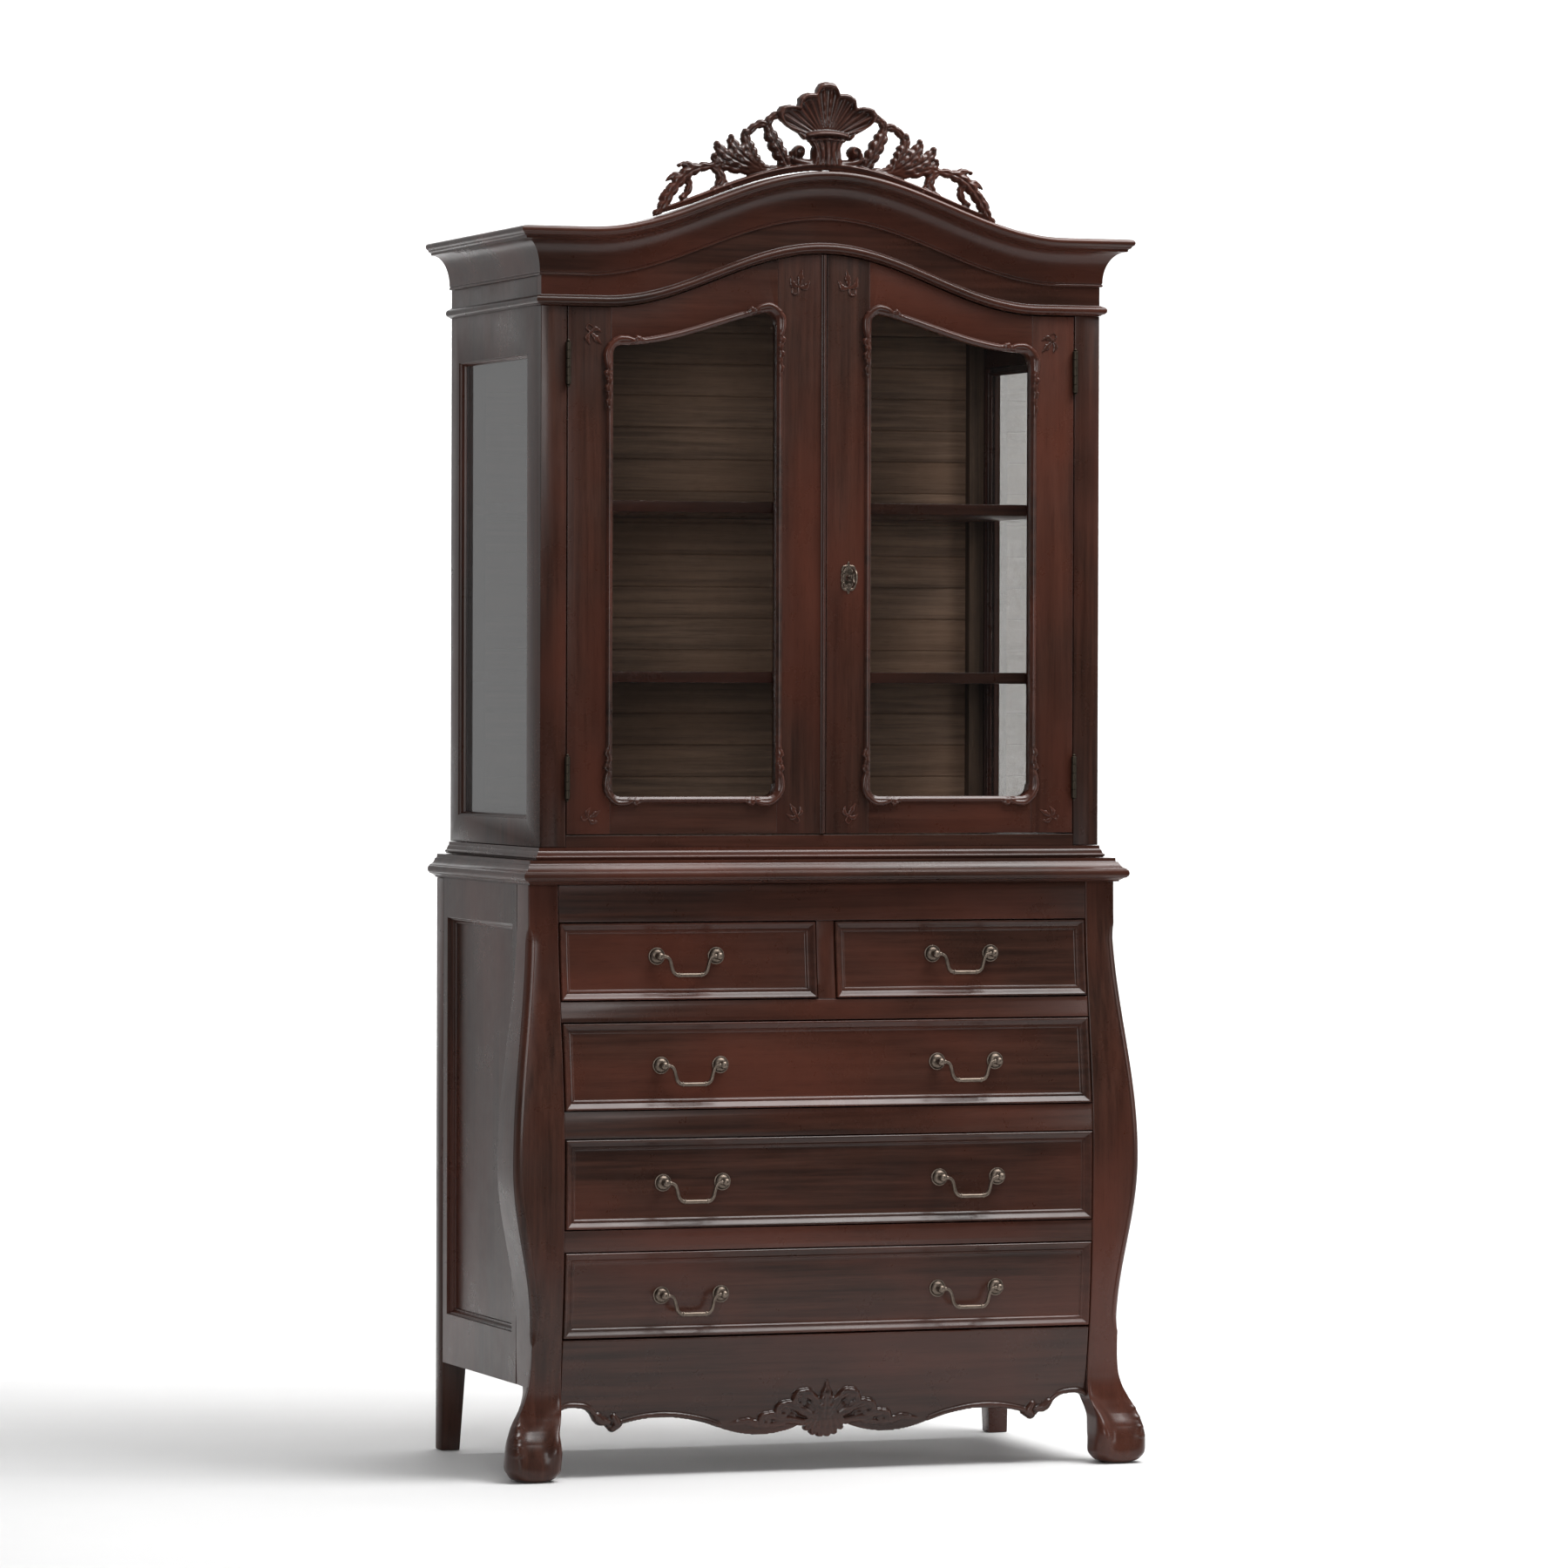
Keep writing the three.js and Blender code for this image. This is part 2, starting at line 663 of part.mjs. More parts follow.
function plankedBack() {
  const half = inside_half - gap;
  const low = body_bottom + gap;
  const edge = [[inside_back, low]];
  for (let z = low + plank_pitch; z < body_top_z - plank_pitch / 2; z += plank_pitch) {
    edge.push([inside_back, z - plank_groove]);
    edge.push([inside_back + plank_groove, z]);
    edge.push([inside_back, z + plank_groove]);
  }
  edge.push([inside_back, body_top_z], [chest_depth, body_top_z], [chest_depth, low]);
  return extrudeAlongX(polygon(edge), [-half, half]);
}

function friezeShape() {
  const low = [];
  const high = [];
  const steps = 24;
  for (let i = 0; i <= steps; i++) {
    const across = -1 + 2 * i / steps;
    low.push([across * bead_half_span, frieze_bottom + beadLift(across * bead_half_span)]);
    high.push([across * cornice_half_span, body_top_z - gap + corniceLift(across * cornice_half_span)]);
  }
  return polygon([[-body_half, frieze_bottom], ...low, [body_half, frieze_bottom],
    [body_half, body_top_z - gap], ...high.reverse(), [-body_half, body_top_z - gap]]);
}

function beadProfile() {
  const profile = [[gap, 1], [bead_proud * 0.3, 1]];
  for (let i = 0; i <= 6; i++) {
    const angle = Math.PI * (i / 6 - 0.5);
    const out = bead_proud * (0.3 + 0.7 * Math.cos(angle));
    const up = 2 + (bead_height - 2) / 2 * (1 + Math.sin(angle));
    profile.push([out, up]);
  }
  profile.push([gap, bead_height + 1]);
  return profile;
}

function corniceProfile() {
  const o = cornice_overhang;
  const h = cornice_height;
  const profile = [[gap, 0], [3, 0], [4, 4]];
  for (let i = 0; i <= 5; i++) {
    const angle = Math.PI / 2 * i / 5;
    profile.push([4.5 + (o - 16) * (1 - Math.cos(angle)), 5 + (h - 27) * Math.sin(angle)]);
  }
  profile.push([o - 9, h - 20], [o - 9, h - 15], [o - 2, h - 13], [o, h - 9], [o, h - 4], [o - 3, h],
    [-frieze_board, h], [-frieze_board, h - 8 + gap], [gap, h - 8 + gap]);
  return profile;
}

function crestShape() {
  const shape = new THREE.Shape();
  const base = (x) => crest_base_z + corniceLift(x) - cornice_rise;
  const top = crest_base_z + crest_height;
  const w = crest_half_width;
  const curve = [];
  const lobes = [
    [w - 14, 0.2], [w - 24, 0.33], [w - 46, 0.43], [w - 82, 0.46], [w - 100, 0.57], [w - 128, 0.6],
    [w - 155, 0.66], [w - 180, 0.68], [w - 198, 0.74], [w - 205, 0.8], [w - 228, 0.86], [w - 246, 0.93],
    [w - 272, 0.975], [0, 1],
  ];
  for (const [x, share] of lobes) {
    curve.push([x, crest_base_z + share * (top - crest_base_z)]);
  }
  const steps = 16;
  for (let i = 0; i <= steps; i++) {
    const x = -w + 2 * w * i / steps;
    const z = crest_base_z + corniceLift(x);
    if (i === 0) shape.moveTo(x, z);
    else shape.lineTo(x, z);
  }
  curve.forEach(([x, z]) => shape.lineTo(x, z));
  curve.slice(0, -1).reverse().forEach(([x, z]) => shape.lineTo(-x, z));
  // Pierced holes: centre x and height above the cornice line there, half sizes, tilt in degrees.
  const holes = [
    [74, 48, 32, 15, 62],
    [116, 46, 27, 10, 68],
    [150, 21, 21, 7, -22],
    [199, 40, 14, 8, -50],
    [222, 19, 24, 8, -32],
  ];
  for (const [x, up, long, short, tilt] of holes) {
    for (const side of [-1, 1]) {
      const hole = new THREE.Path();
      const z = crest_base_z + corniceLift(x) + up;
      const turn = side * THREE.MathUtils.degToRad(tilt);
      hole.absellipse(side * x, z, long, short, 0, 2 * Math.PI, true, turn);
      shape.holes.push(hole);
    }
  }
  return shape;
}

function makeUpperCabinet() {
  const rail_half = body_half - corner_post_width - gap;
  const o = base_step_overhang;
  const step = mouldedBoard(body_half, body_front, chest_depth, [
    [o - 2, o - 2, base_z],
    [o, o, base_z + 3],
    [o, o, base_z + 9],
    [o - 5, o - 5, base_z + 14],
    [o - 7, o - 7, body_bottom],
  ]);
  const floor = block([-rail_half, rail_half], [body_front, inside_back - gap], [body_bottom - 1, floor_z]);
  place('cabinet_base', join(step, floor), 'mahogany');

  const side = sideFrame();
  place('side_frame_right', side.frame, 'mahogany');
  place('side_frame_left', mirrorX(side.frame), 'mahogany');
  place('side_glass_right', side.glass, 'glass');
  place('side_glass_left', mirrorX(side.glass), 'glass');
  place('cabinet_back', plankedBack(), 'inside_wood');
  place('frieze', extrudeAlongY(friezeShape(), [body_front, body_front + frieze_board]), 'mahogany');
  const wall = [body_half, body_front, chest_depth];
  const bead = wrapMoulding(...wall, frieze_bottom, beadProfile(), beadLift, bead_half_span);
  place('bead_moulding', bead, 'mahogany');
  const cornice = wrapMoulding(...wall, cornice_z, corniceProfile(), corniceLift, cornice_half_span);
  place('cornice', cornice, 'mahogany');
  const roof_top = body_top_z - roof_drop;
  place('cabinet_roof', block([-inside_half + gap, inside_half - gap],
    [body_front + frieze_board + gap, inside_back - gap], [roof_top - roof_board, roof_top]), 'inside_wood');
  place('crest', extrudeAlongY(crestShape(), [crest_front, crest_front + crest_thickness], 10), 'mahogany');
  const shelf_front = body_front + corner_post_depth + shelf_set_back;
  shelf_heights.forEach((height, i) => {
    const top = floor_z + height;
    place(`shelf_${['lower', 'upper'][i]}`, block([-inside_half + gap, inside_half - gap],
      [shelf_front, inside_back - gap], [top - shelf_thickness, top]), 'mahogany');
  });
}

// ---------------------------------------------------------------- doors, hinges and lock
// The outline of a door, or of its glazed opening, grown outwards by a margin. Right-hand door, x > 0.
function openingShape(inner, outer, margin) {
  const low = door_bottom + bottom_rail - margin;
  const top = (x) => {
    const share = THREE.MathUtils.clamp((x - inner) / (outer - inner), 0, 1);
    const fall = top_rail_inner + (top_rail_outer - top_rail_inner) * share;
    return door_top + beadLift(x) - fall + margin;
  };
  const x0 = inner - margin;
  const x1 = outer + margin;
  const r = opening_corner;
  const shape = new THREE.Shape();
  shape.moveTo(x0 + r, low);
  shape.lineTo(x1 - r, low);
  shape.quadraticCurveTo(x1, low, x1, low + r);
  shape.lineTo(x1, top(x1 - r) - r);
  shape.quadraticCurveTo(x1, top(x1 - r), x1 - r, top(x1 - r));
  const steps = 10;
  for (let i = 1; i <= steps; i++) {
    const x = x1 - r + (x0 + 2 * r - x1) * i / steps;
    shape.lineTo(x, top(x));
  }
  shape.quadraticCurveTo(x0, top(x0 + r), x0, top(x0 + r) - r);
  shape.lineTo(x0, low + r);
  shape.quadraticCurveTo(x0, low, x0 + r, low);
  return shape;
}

function doorShape(inner) {
  const points = [[inner, door_bottom], [door_outer, door_bottom]];
  const steps = 16;
  for (let i = 0; i <= steps; i++) {
    const x = door_outer + (inner - door_outer) * i / steps;
    points.push([x, door_top + beadLift(x)]);
  }
  return polygon(points);
}

function makeDoor(side) {
  const right = side === 'right';
  const hand = (geometry) => (right ? geometry : mirrorX(geometry));
  const inner = right ? door_split + door_gap : -door_split;
  const opening = [stile_width + door_split + door_gap, door_outer - stile_width];
  const y_front = [body_front, door_back];
  let frame = cut(extrudeAlongY(doorShape(inner), y_front),
    extrudeAlongY(openingShape(...opening, 0), [body_front - 1, door_back + 1], 4),
    extrudeAlongY(openingShape(...opening, rebate_width), [door_back - door_rebate, door_back + 1], 4));
  if (right) frame = cut(frame, keyBore(door_back + 1));
  place(`door_frame_${side}`, hand(frame), 'mahogany');
  const glass_y = door_back - door_rebate + gap;
  place(`door_glass_${side}`, hand(extrudeAlongY(openingShape(...opening, rebate_width - gap),
    [glass_y, glass_y + glass_thickness], 4)), 'glass');
  const ring = openingShape(...opening, moulding_width - 2);
  ring.holes.push(openingShape(...opening, -2));
  place(`door_moulding_${side}`, hand(extrudeAlongY(ring,
    [body_front - gap - moulding_proud, body_front - gap], 4)), 'mahogany');
}

function keyBore(back) {
  const bore = new THREE.CylinderGeometry(key_radius + key_clearance, key_radius + key_clearance,
    back - body_front + 20, 16);
  return bore.translate(door_split + door_gap + stile_width / 2, (back + body_front - 20) / 2, lock_z);
}

function makeLock() {
  const x = door_split + door_gap + stile_width / 2;
  const y = [body_front - gap - escutcheon_thickness, body_front - gap];
  const plate = new THREE.Shape();
  plate.absellipse(x, lock_z, escutcheon_width / 2, escutcheon_height / 2, 0, 2 * Math.PI, false, 0);
  place('escutcheon', cut(extrudeAlongY(plate, y, 8), keyBore(body_front + 1)), 'pewter');
  place('lock_case', block([x - lock_case.width / 2, x + lock_case.width / 2],
    [door_back + gap, door_back + gap + lock_case.thickness],
    [lock_z - lock_case.height / 2, lock_z + lock_case.height / 2]), 'pewter');

  const shank_y = [body_front - key_reach + key_bow_radius * 2, door_back - gap];
  const shank = new THREE.CylinderGeometry(key_radius, key_radius, shank_y[1] - shank_y[0], 12);
  const bow = new THREE.Shape();
  bow.absellipse(0, 0, key_bow_radius, key_bow_radius + 2, 0, 2 * Math.PI, false, 0);
  const hole = new THREE.Path();
  hole.absellipse(0, 0, key_bow_radius - 5, key_bow_radius - 3, 0, 2 * Math.PI, true, 0);
  bow.holes.push(hole);
  const bow_y = shank_y[0] - key_bow_radius + 3;
  const bow_solid = extrudeAlongX(bow, [x - 2.5, x + 2.5]).translate(0, bow_y, lock_z);
  place('key', join(shank.translate(x, (shank_y[0] + shank_y[1]) / 2, lock_z), bow_solid), 'pewter');
}

function makeHinges() {
  const heights = { lower: door_bottom + hinge_from_end, upper: door_top - hinge_from_end };
  for (const [level, z] of Object.entries(heights)) {
    const barrel = new THREE.CylinderGeometry(hinge_radius, hinge_radius, hinge_length, 16);
    barrel.rotateX(Math.PI / 2).translate(hinge_x, hinge_y, z);
    const leaf_x = post_inner - gap - hinge_leaf;
    const leaf = block([leaf_x, leaf_x + hinge_leaf], [hinge_y, body_front + door_thickness - 4],
      [z - hinge_length / 2, z + hinge_length / 2]);
    const hinge = join(barrel, leaf);
    place(`hinge_${level}_right`, hinge, 'pewter');
    place(`hinge_${level}_left`, mirrorX(hinge), 'pewter');
  }
}

function makeMeetingBead() {
  const shape = new THREE.Shape();
  const half = meeting_bead_width / 2;
  const crown = body_front - meeting_bead_proud - gap;
  const shoulder = body_front - meeting_bead_proud * 0.4;
  shape.moveTo(-half, body_front - gap);
  shape.lineTo(-half, shoulder);
  shape.quadraticCurveTo(-half, crown, 0, crown);
  shape.quadraticCurveTo(half, crown, half, shoulder);
  shape.lineTo(half, body_front - gap);
  const length = door_height + beadLift(half) - 1;
  const bead = new THREE.ExtrudeGeometry(shape, { depth: length, bevelEnabled: false, curveSegments: 4 });
  place('meeting_bead', bead.translate(0, 0, door_bottom), 'mahogany');
}

makeChest();
makeDrawers();
makeUpperCabinet();
makeDoor('left');
makeDoor('right');
makeMeetingBead();
makeLock();
makeHinges();

// The origin is on the floor under the middle of the whole cabinet.
const extent = new THREE.Box3().setFromObject(cabinet);
cabinet.position.y = -(extent.min.y + extent.max.y) / 2;

export default cabinet;
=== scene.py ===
# %% [markdown]
# # A glazed china cabinet on a bow-fronted chest
# The real piece is two mahogany cases, one standing on the other. The lower one is a chest of drawers whose
# front swells forward and whose front corners are shaped posts that end in pad feet. The upper one is a
# glazed cupboard with an arched top. Carved work is fixed over plain joinery, so each carving is built here
# as its own piece that rides on the fixed frame.

# %% Open the fixed frame
import math

import bmesh
import bpy
import numpy as np
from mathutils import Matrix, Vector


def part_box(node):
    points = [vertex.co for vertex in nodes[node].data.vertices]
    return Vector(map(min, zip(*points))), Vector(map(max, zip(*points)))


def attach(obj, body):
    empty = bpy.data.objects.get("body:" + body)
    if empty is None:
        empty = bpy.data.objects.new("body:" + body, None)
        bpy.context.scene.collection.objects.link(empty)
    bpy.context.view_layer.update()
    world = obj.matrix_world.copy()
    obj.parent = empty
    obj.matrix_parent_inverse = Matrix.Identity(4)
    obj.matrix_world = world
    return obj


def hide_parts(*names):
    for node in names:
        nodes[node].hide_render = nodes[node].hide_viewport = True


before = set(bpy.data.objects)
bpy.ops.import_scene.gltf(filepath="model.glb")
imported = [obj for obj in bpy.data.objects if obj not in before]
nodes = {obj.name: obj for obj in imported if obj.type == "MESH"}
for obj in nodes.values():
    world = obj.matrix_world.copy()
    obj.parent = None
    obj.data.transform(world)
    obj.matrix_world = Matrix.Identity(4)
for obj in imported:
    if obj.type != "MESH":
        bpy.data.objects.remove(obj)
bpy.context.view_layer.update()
scene = bpy.context.scene

# %% [markdown]
# ## The bench drawing
# A cabinet maker draws in millimetres from two fixed lines: the middle of the case and the face of the
# chest's top rail. Every piece below is drawn that way, and one function carries it into the frame's
# metres. The chest's swelling is one curve, used by the posts, drawer fronts, rails and apron, so that they
# flow into each other.

# %% Drawing to frame, and the curves of the front
MM = 0.001
FRONT_BODY = 14          # the upper case stands this far behind the chest's top rail
RAIL_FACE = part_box("frieze")[0].y - FRONT_BODY * MM
GAP = 0.3

BELLY_FORWARD = 40
BELLY_SIDE = 32
BELLY_Z = 498
BELLY_LOW = 70
BELLY_HIGH = 930
SIDE_LOW = 235
SIDE_HIGH = 900


def to_frame(points):
    """Bench millimetres to the frame's metres."""
    out = np.array(points, float) * MM
    out[:, 1] += RAIL_FACE
    return out


def belly_forward(z):
    """How far the front stands forward of the top rail at a height."""
    z = np.asarray(z, float)
    above = BELLY_FORWARD / 2 * (1 + np.cos(np.pi * np.clip((z - BELLY_Z) / (BELLY_HIGH - BELLY_Z), 0, 1)))
    share = np.clip((BELLY_Z - z) / (BELLY_Z - BELLY_LOW), 0, 1)
    return np.where(z >= BELLY_Z, above, BELLY_FORWARD * (1 - share ** 2.5))


def belly_side(z):
    """How far the front posts stand out past the sides at a height."""
    z = np.asarray(z, float)
    reach = np.where(z > BELLY_Z, SIDE_HIGH - BELLY_Z, BELLY_Z - SIDE_LOW)
    return BELLY_SIDE / 2 * (1 + np.cos(np.pi * np.clip(np.abs(z - BELLY_Z) / reach, 0, 1)))


DOOR_RISE, DOOR_SPAN = 92, 370          # of the arch over the doors: its rise and half its span
CORNICE_RISE, CORNICE_SPAN = 98, 405


def arch(x, rise, half_span):
    """The cosine arch of the door heads and the cornice."""
    return rise / 2 * (1 + np.cos(np.pi * np.clip(np.abs(x) / half_span, 0, 1)))


def door_arch(x):
    return arch(x, DOOR_RISE, DOOR_SPAN)


def cornice_arch(x):
    return arch(x, CORNICE_RISE, CORNICE_SPAN)


print("belly at drawer 3:", round(float(belly_forward(470)), 1), "mm")

# %% [markdown]
# ## Polished mahogany
# The finish is a dark red-brown stain under many thin coats of polish. The grain runs along each board in
# long broken lines, short open pores lie in the same direction, and the red shows through in patches where
# the stain is thin. Four stretched noises give those, a fifth makes some places duller than others, and a
# clear coat gives the gloss. Each board carries a number that shifts the pattern, so two neighbours never
# share one grain.

# %% Helpers for node materials
def new_tree(name):
    material = bpy.data.materials.new(name)
    material.use_nodes = True
    material.node_tree.nodes.clear()
    return material, material.node_tree


def put(tree, kind, inputs=None, **settings):
    """Adds a node, sets its options, and links or sets its inputs."""
    made = tree.nodes.new(kind)
    for key, value in settings.items():
        setattr(made, key, value)
    for key, value in (inputs or {}).items():
        if isinstance(value, bpy.types.NodeSocket):
            tree.links.new(value, made.inputs[key])
        else:
            made.inputs[key].default_value = value
    return made


def ramp(tree, factor, stops):
    """A colour ramp from (position, grey or colour) stops."""
    made = put(tree, "ShaderNodeValToRGB", {"Fac": factor})
    elements = made.color_ramp.elements
    while len(elements) < len(stops):
        elements.new(0.5)
    for element, (position, shade) in zip(elements, stops):
        element.position = position
        element.color = (*shade, 1) if isinstance(shade, tuple) else (shade, shade, shade, 1)
    return made.outputs["Color"]


def shifted_coordinates(tree, stretch):
    """Object coordinates moved by the board's own number, then stretched along the grain."""
    place = put(tree, "ShaderNodeTexCoord").outputs["Object"]
    board = put(tree, "ShaderNodeAttribute", attribute_name="board").outputs["Fac"]
    shift = put(tree, "ShaderNodeVectorMath", {0: (3.1, 1.7, 2.3), "Scale": board}, operation="SCALE")
    moved = put(tree, "ShaderNodeVectorMath", {0: place, 1: shift.outputs[0]}, operation="ADD")
    drawn = put(tree, "ShaderNodeVectorMath", {0: moved.outputs[0], 1: stretch}, operation="MULTIPLY")
    return drawn.outputs[0]


def along(axis, fine, long):
    """A stretch that is fine across the grain and long along it."""
    return tuple(long if letter == axis else fine for letter in "XYZ")


# %% Polished wood
def polished_wood(name, axis, dark, middle, red, roughness=(0.24, 0.36), coat=0.08, carved=False, relief=0.1):
    material, tree = new_tree(name)
    lines = put(tree, "ShaderNodeTexNoise",
                {"Vector": shifted_coordinates(tree, along(axis, 95, 3.2)), "Scale": 1, "Detail": 5,
                 "Roughness": 0.62, "Distortion": 0.35}).outputs["Fac"]
    figure = put(tree, "ShaderNodeTexNoise",
                 {"Vector": shifted_coordinates(tree, along(axis, 11, 1.5)), "Scale": 1, "Detail": 3,
                  "Roughness": 0.5, "Distortion": 0.8}).outputs["Fac"]
    pores = put(tree, "ShaderNodeTexNoise",
                {"Vector": shifted_coordinates(tree, along(axis, 850, 34)), "Scale": 1, "Detail": 2,
                 "Roughness": 0.5}).outputs["Fac"]
    patches = put(tree, "ShaderNodeTexNoise",
                  {"Vector": shifted_coordinates(tree, along(axis, 5, 2)), "Scale": 1, "Detail": 3,
                   "Roughness": 0.55}).outputs["Fac"]
    grain = ramp(tree, lines, [(0.36, 0.0), (0.64, 1.0)])
    body = put(tree, "ShaderNodeMixRGB", {"Fac": grain, "Color1": (*dark, 1), "Color2": (*middle, 1)})
    warm = ramp(tree, patches, [(0.42, 0.0), (0.66, 0.85)])
    thin = put(tree, "ShaderNodeMixRGB", {"Fac": warm, "Color1": body.outputs[0], "Color2": (*red, 1)})
    wave = ramp(tree, figure, [(0.3, 0.84), (0.7, 1.12)])
    lit = put(tree, "ShaderNodeMixRGB", {"Fac": 1, "Color1": thin.outputs[0], "Color2": wave},
              blend_type="MULTIPLY")
    pore_mask = ramp(tree, pores, [(0.28, 0.72), (0.42, 1.0)])
    stained = put(tree, "ShaderNodeMixRGB", {"Fac": 1, "Color1": lit.outputs[0], "Color2": pore_mask},
                  blend_type="MULTIPLY")
    colour = stained.outputs[0]
    if carved:
        # On carved pieces the colour is darkened in the hollows as painted shade and lightened on the ridges
        # as a painted highlight, both read from the pointiness.
        point = put(tree, "ShaderNodeNewGeometry").outputs["Pointiness"]
        hollow = ramp(tree, point, [(0.44, 0.45), (0.50, 0.88), (0.57, 1.25)])
        carving_painted_shade_and_highlight = put(tree, "ShaderNodeMixRGB", {"Fac": 1, "Color1": colour, "Color2": hollow},
                     blend_type="MULTIPLY")
        colour = carving_painted_shade_and_highlight.outputs[0]
    wear = put(tree, "ShaderNodeTexNoise",
               {"Vector": shifted_coordinates(tree, (9, 9, 9)), "Scale": 1, "Detail": 6,
                "Roughness": 0.7}).outputs["Fac"]
    rough = put(tree, "ShaderNodeMapRange",
                {"Value": wear, "From Min": 0.3, "From Max": 0.7,
                 "To Min": roughness[0], "To Max": roughness[1]})
    heights = put(tree, "ShaderNodeMath", {0: pores, 1: lines}, operation="ADD")
    bump = put(tree, "ShaderNodeBump", {"Height": heights.outputs[0], "Strength": relief, "Distance": 0.0004})
    shader = put(tree, "ShaderNodeBsdfPrincipled",
                 {"Base Color": colour, "Roughness": rough.outputs[0], "Normal": bump.outputs[0],
                  "Coat Weight": coat, "Coat Roughness": 0.13, "IOR": 1.5, "Specular IOR Level": 0.27})
    put(tree, "ShaderNodeOutputMaterial", {"Surface": shader.outputs[0]})
    return material


DARK = (0.022, 0.0092, 0.0062)
MIDDLE = (0.050, 0.0205, 0.0138)
RED = (0.076, 0.0225, 0.0138)
mahogany = {axis: polished_wood("mahogany_" + axis.lower(), axis, DARK, MIDDLE, RED) for axis in "XYZ"}
# The carved finish carries painted shade in its hollows and a painted highlight on its ridges.
carved_wood = polished_wood("mahogany_carved", "X", DARK, MIDDLE, RED, coat=0.2, carved=True, relief=0.08)
plank_wood = polished_wood("inside_planks", "X", (0.150, 0.094, 0.064), (0.33, 0.214, 0.148),
                           (0.270, 0.160, 0.102), roughness=(0.5, 0.68), coat=0.0, relief=0.5)
inside_wood = polished_wood("inside_boards", "Z", (0.050, 0.030, 0.020), (0.110, 0.070, 0.046),
                            (0.092, 0.050, 0.032), roughness=(0.5, 0.7), coat=0.0, relief=0.4)
drawer_wood = polished_wood("drawer_linings", "Y", (0.17, 0.10, 0.055), (0.30, 0.19, 0.11),
                            (0.24, 0.14, 0.075), roughness=(0.55, 0.75), coat=0.0, relief=0.4)
print("wood finishes:", len(mahogany) + 4)

# %% [markdown]
# ## Pewter-coloured fittings and old glass
# The pulls, rosettes and key plate are cast metal with a dull brown-grey tarnish that is worn brighter on the
# high spots, and the hinges are darker iron. The panes are thin glass that hardly tints what is behind it and
# shows its slight waviness only in what it mirrors. A film of dust hides more where a pane is seen aslant.

# %% Metal and glass
def tarnished_metal(name, bright, dull, roughness):
    material, tree = new_tree(name)
    place = put(tree, "ShaderNodeTexCoord").outputs["Object"]
    cloud = put(tree, "ShaderNodeTexNoise", {"Vector": place, "Scale": 120, "Detail": 6, "Roughness": 0.65})
    speck = put(tree, "ShaderNodeTexNoise", {"Vector": place, "Scale": 900, "Detail": 3, "Roughness": 0.6})
    point = put(tree, "ShaderNodeNewGeometry").outputs["Pointiness"]
    worn = ramp(tree, point, [(0.46, 0.0), (0.56, 1.0)])
    mixed = put(tree, "ShaderNodeMath", {0: worn, 1: cloud.outputs["Fac"]}, operation="MULTIPLY")
    share = ramp(tree, mixed.outputs[0], [(0.12, 0.0), (0.5, 1.0)])
    colour = put(tree, "ShaderNodeMixRGB", {"Fac": share, "Color1": (*dull, 1), "Color2": (*bright, 1)})
    rough = put(tree, "ShaderNodeMapRange", {"Value": cloud.outputs["Fac"], "From Min": 0.3, "From Max": 0.7,
                                             "To Min": roughness[0], "To Max": roughness[1]})
    bump = put(tree, "ShaderNodeBump", {"Height": speck.outputs["Fac"], "Strength": 0.25, "Distance": 0.0002})
    shader = put(tree, "ShaderNodeBsdfPrincipled",
                 {"Base Color": colour.outputs[0], "Metallic": 1.0, "Roughness": rough.outputs[0],
                  "Normal": bump.outputs[0]})
    put(tree, "ShaderNodeOutputMaterial", {"Surface": shader.outputs[0]})
    return material


def window_glass(name):
    material, tree = new_tree(name)
    place = put(tree, "ShaderNodeTexCoord").outputs["Object"]
    waves = put(tree, "ShaderNodeTexNoise", {"Vector": place, "Scale": 7, "Detail": 2, "Roughness": 0.4})
    bump = put(tree, "ShaderNodeBump", {"Height": waves.outputs["Fac"], "Strength": 0.12, "Distance": 0.004})
    dust = put(tree, "ShaderNodeTexNoise", {"Vector": place, "Scale": 60, "Detail": 6, "Roughness": 0.7})
    tint = ramp(tree, dust.outputs["Fac"], [(0.3, (0.92, 0.915, 0.905)), (0.7, (0.955, 0.95, 0.945))])
    rough = ramp(tree, dust.outputs["Fac"], [(0.3, 0.02), (0.7, 0.07)])
    clear = put(tree, "ShaderNodeBsdfTransparent", {"Color": tint})
    mirror = put(tree, "ShaderNodeBsdfGlossy", {"Roughness": rough, "Normal": bump.outputs[0]})
    fresnel = put(tree, "ShaderNodeFresnel", {"IOR": 1.45, "Normal": bump.outputs[0]})
    # The face met from outside stands for both faces of the pane, so the inner one mirrors nothing.
    behind = put(tree, "ShaderNodeNewGeometry").outputs["Backfacing"]
    outside = put(tree, "ShaderNodeMath", {0: 1.0, 1: behind}, operation="SUBTRACT").outputs[0]
    twice = put(tree, "ShaderNodeMath", {0: fresnel.outputs[0], 1: 1.75}, operation="MULTIPLY").outputs[0]
    share = put(tree, "ShaderNodeMath", {0: twice, 1: outside}, operation="MULTIPLY", use_clamp=True)
    # Dust hides more the more slanted the look through the pane.
    slant = put(tree, "ShaderNodeLayerWeight", {"Blend": 0.5}).outputs["Facing"]
    film = put(tree, "ShaderNodeMapRange", {"Value": slant, "From Min": 0.35, "From Max": 0.75, "To Min": 0.0,
                                            "To Max": 0.8}).outputs[0]
    veil_amount = put(tree, "ShaderNodeMath", {0: film, 1: outside}, operation="MULTIPLY").outputs[0]
    veil = put(tree, "ShaderNodeBsdfDiffuse", {"Color": (0.10, 0.10, 0.10, 1)})
    dusty = put(tree, "ShaderNodeMixShader", {0: veil_amount, 1: clear.outputs[0], 2: veil.outputs[0]})
    mix = put(tree, "ShaderNodeMixShader", {0: share.outputs[0], 1: dusty.outputs[0], 2: mirror.outputs[0]})
    put(tree, "ShaderNodeOutputMaterial", {"Surface": mix.outputs[0]})
    return material


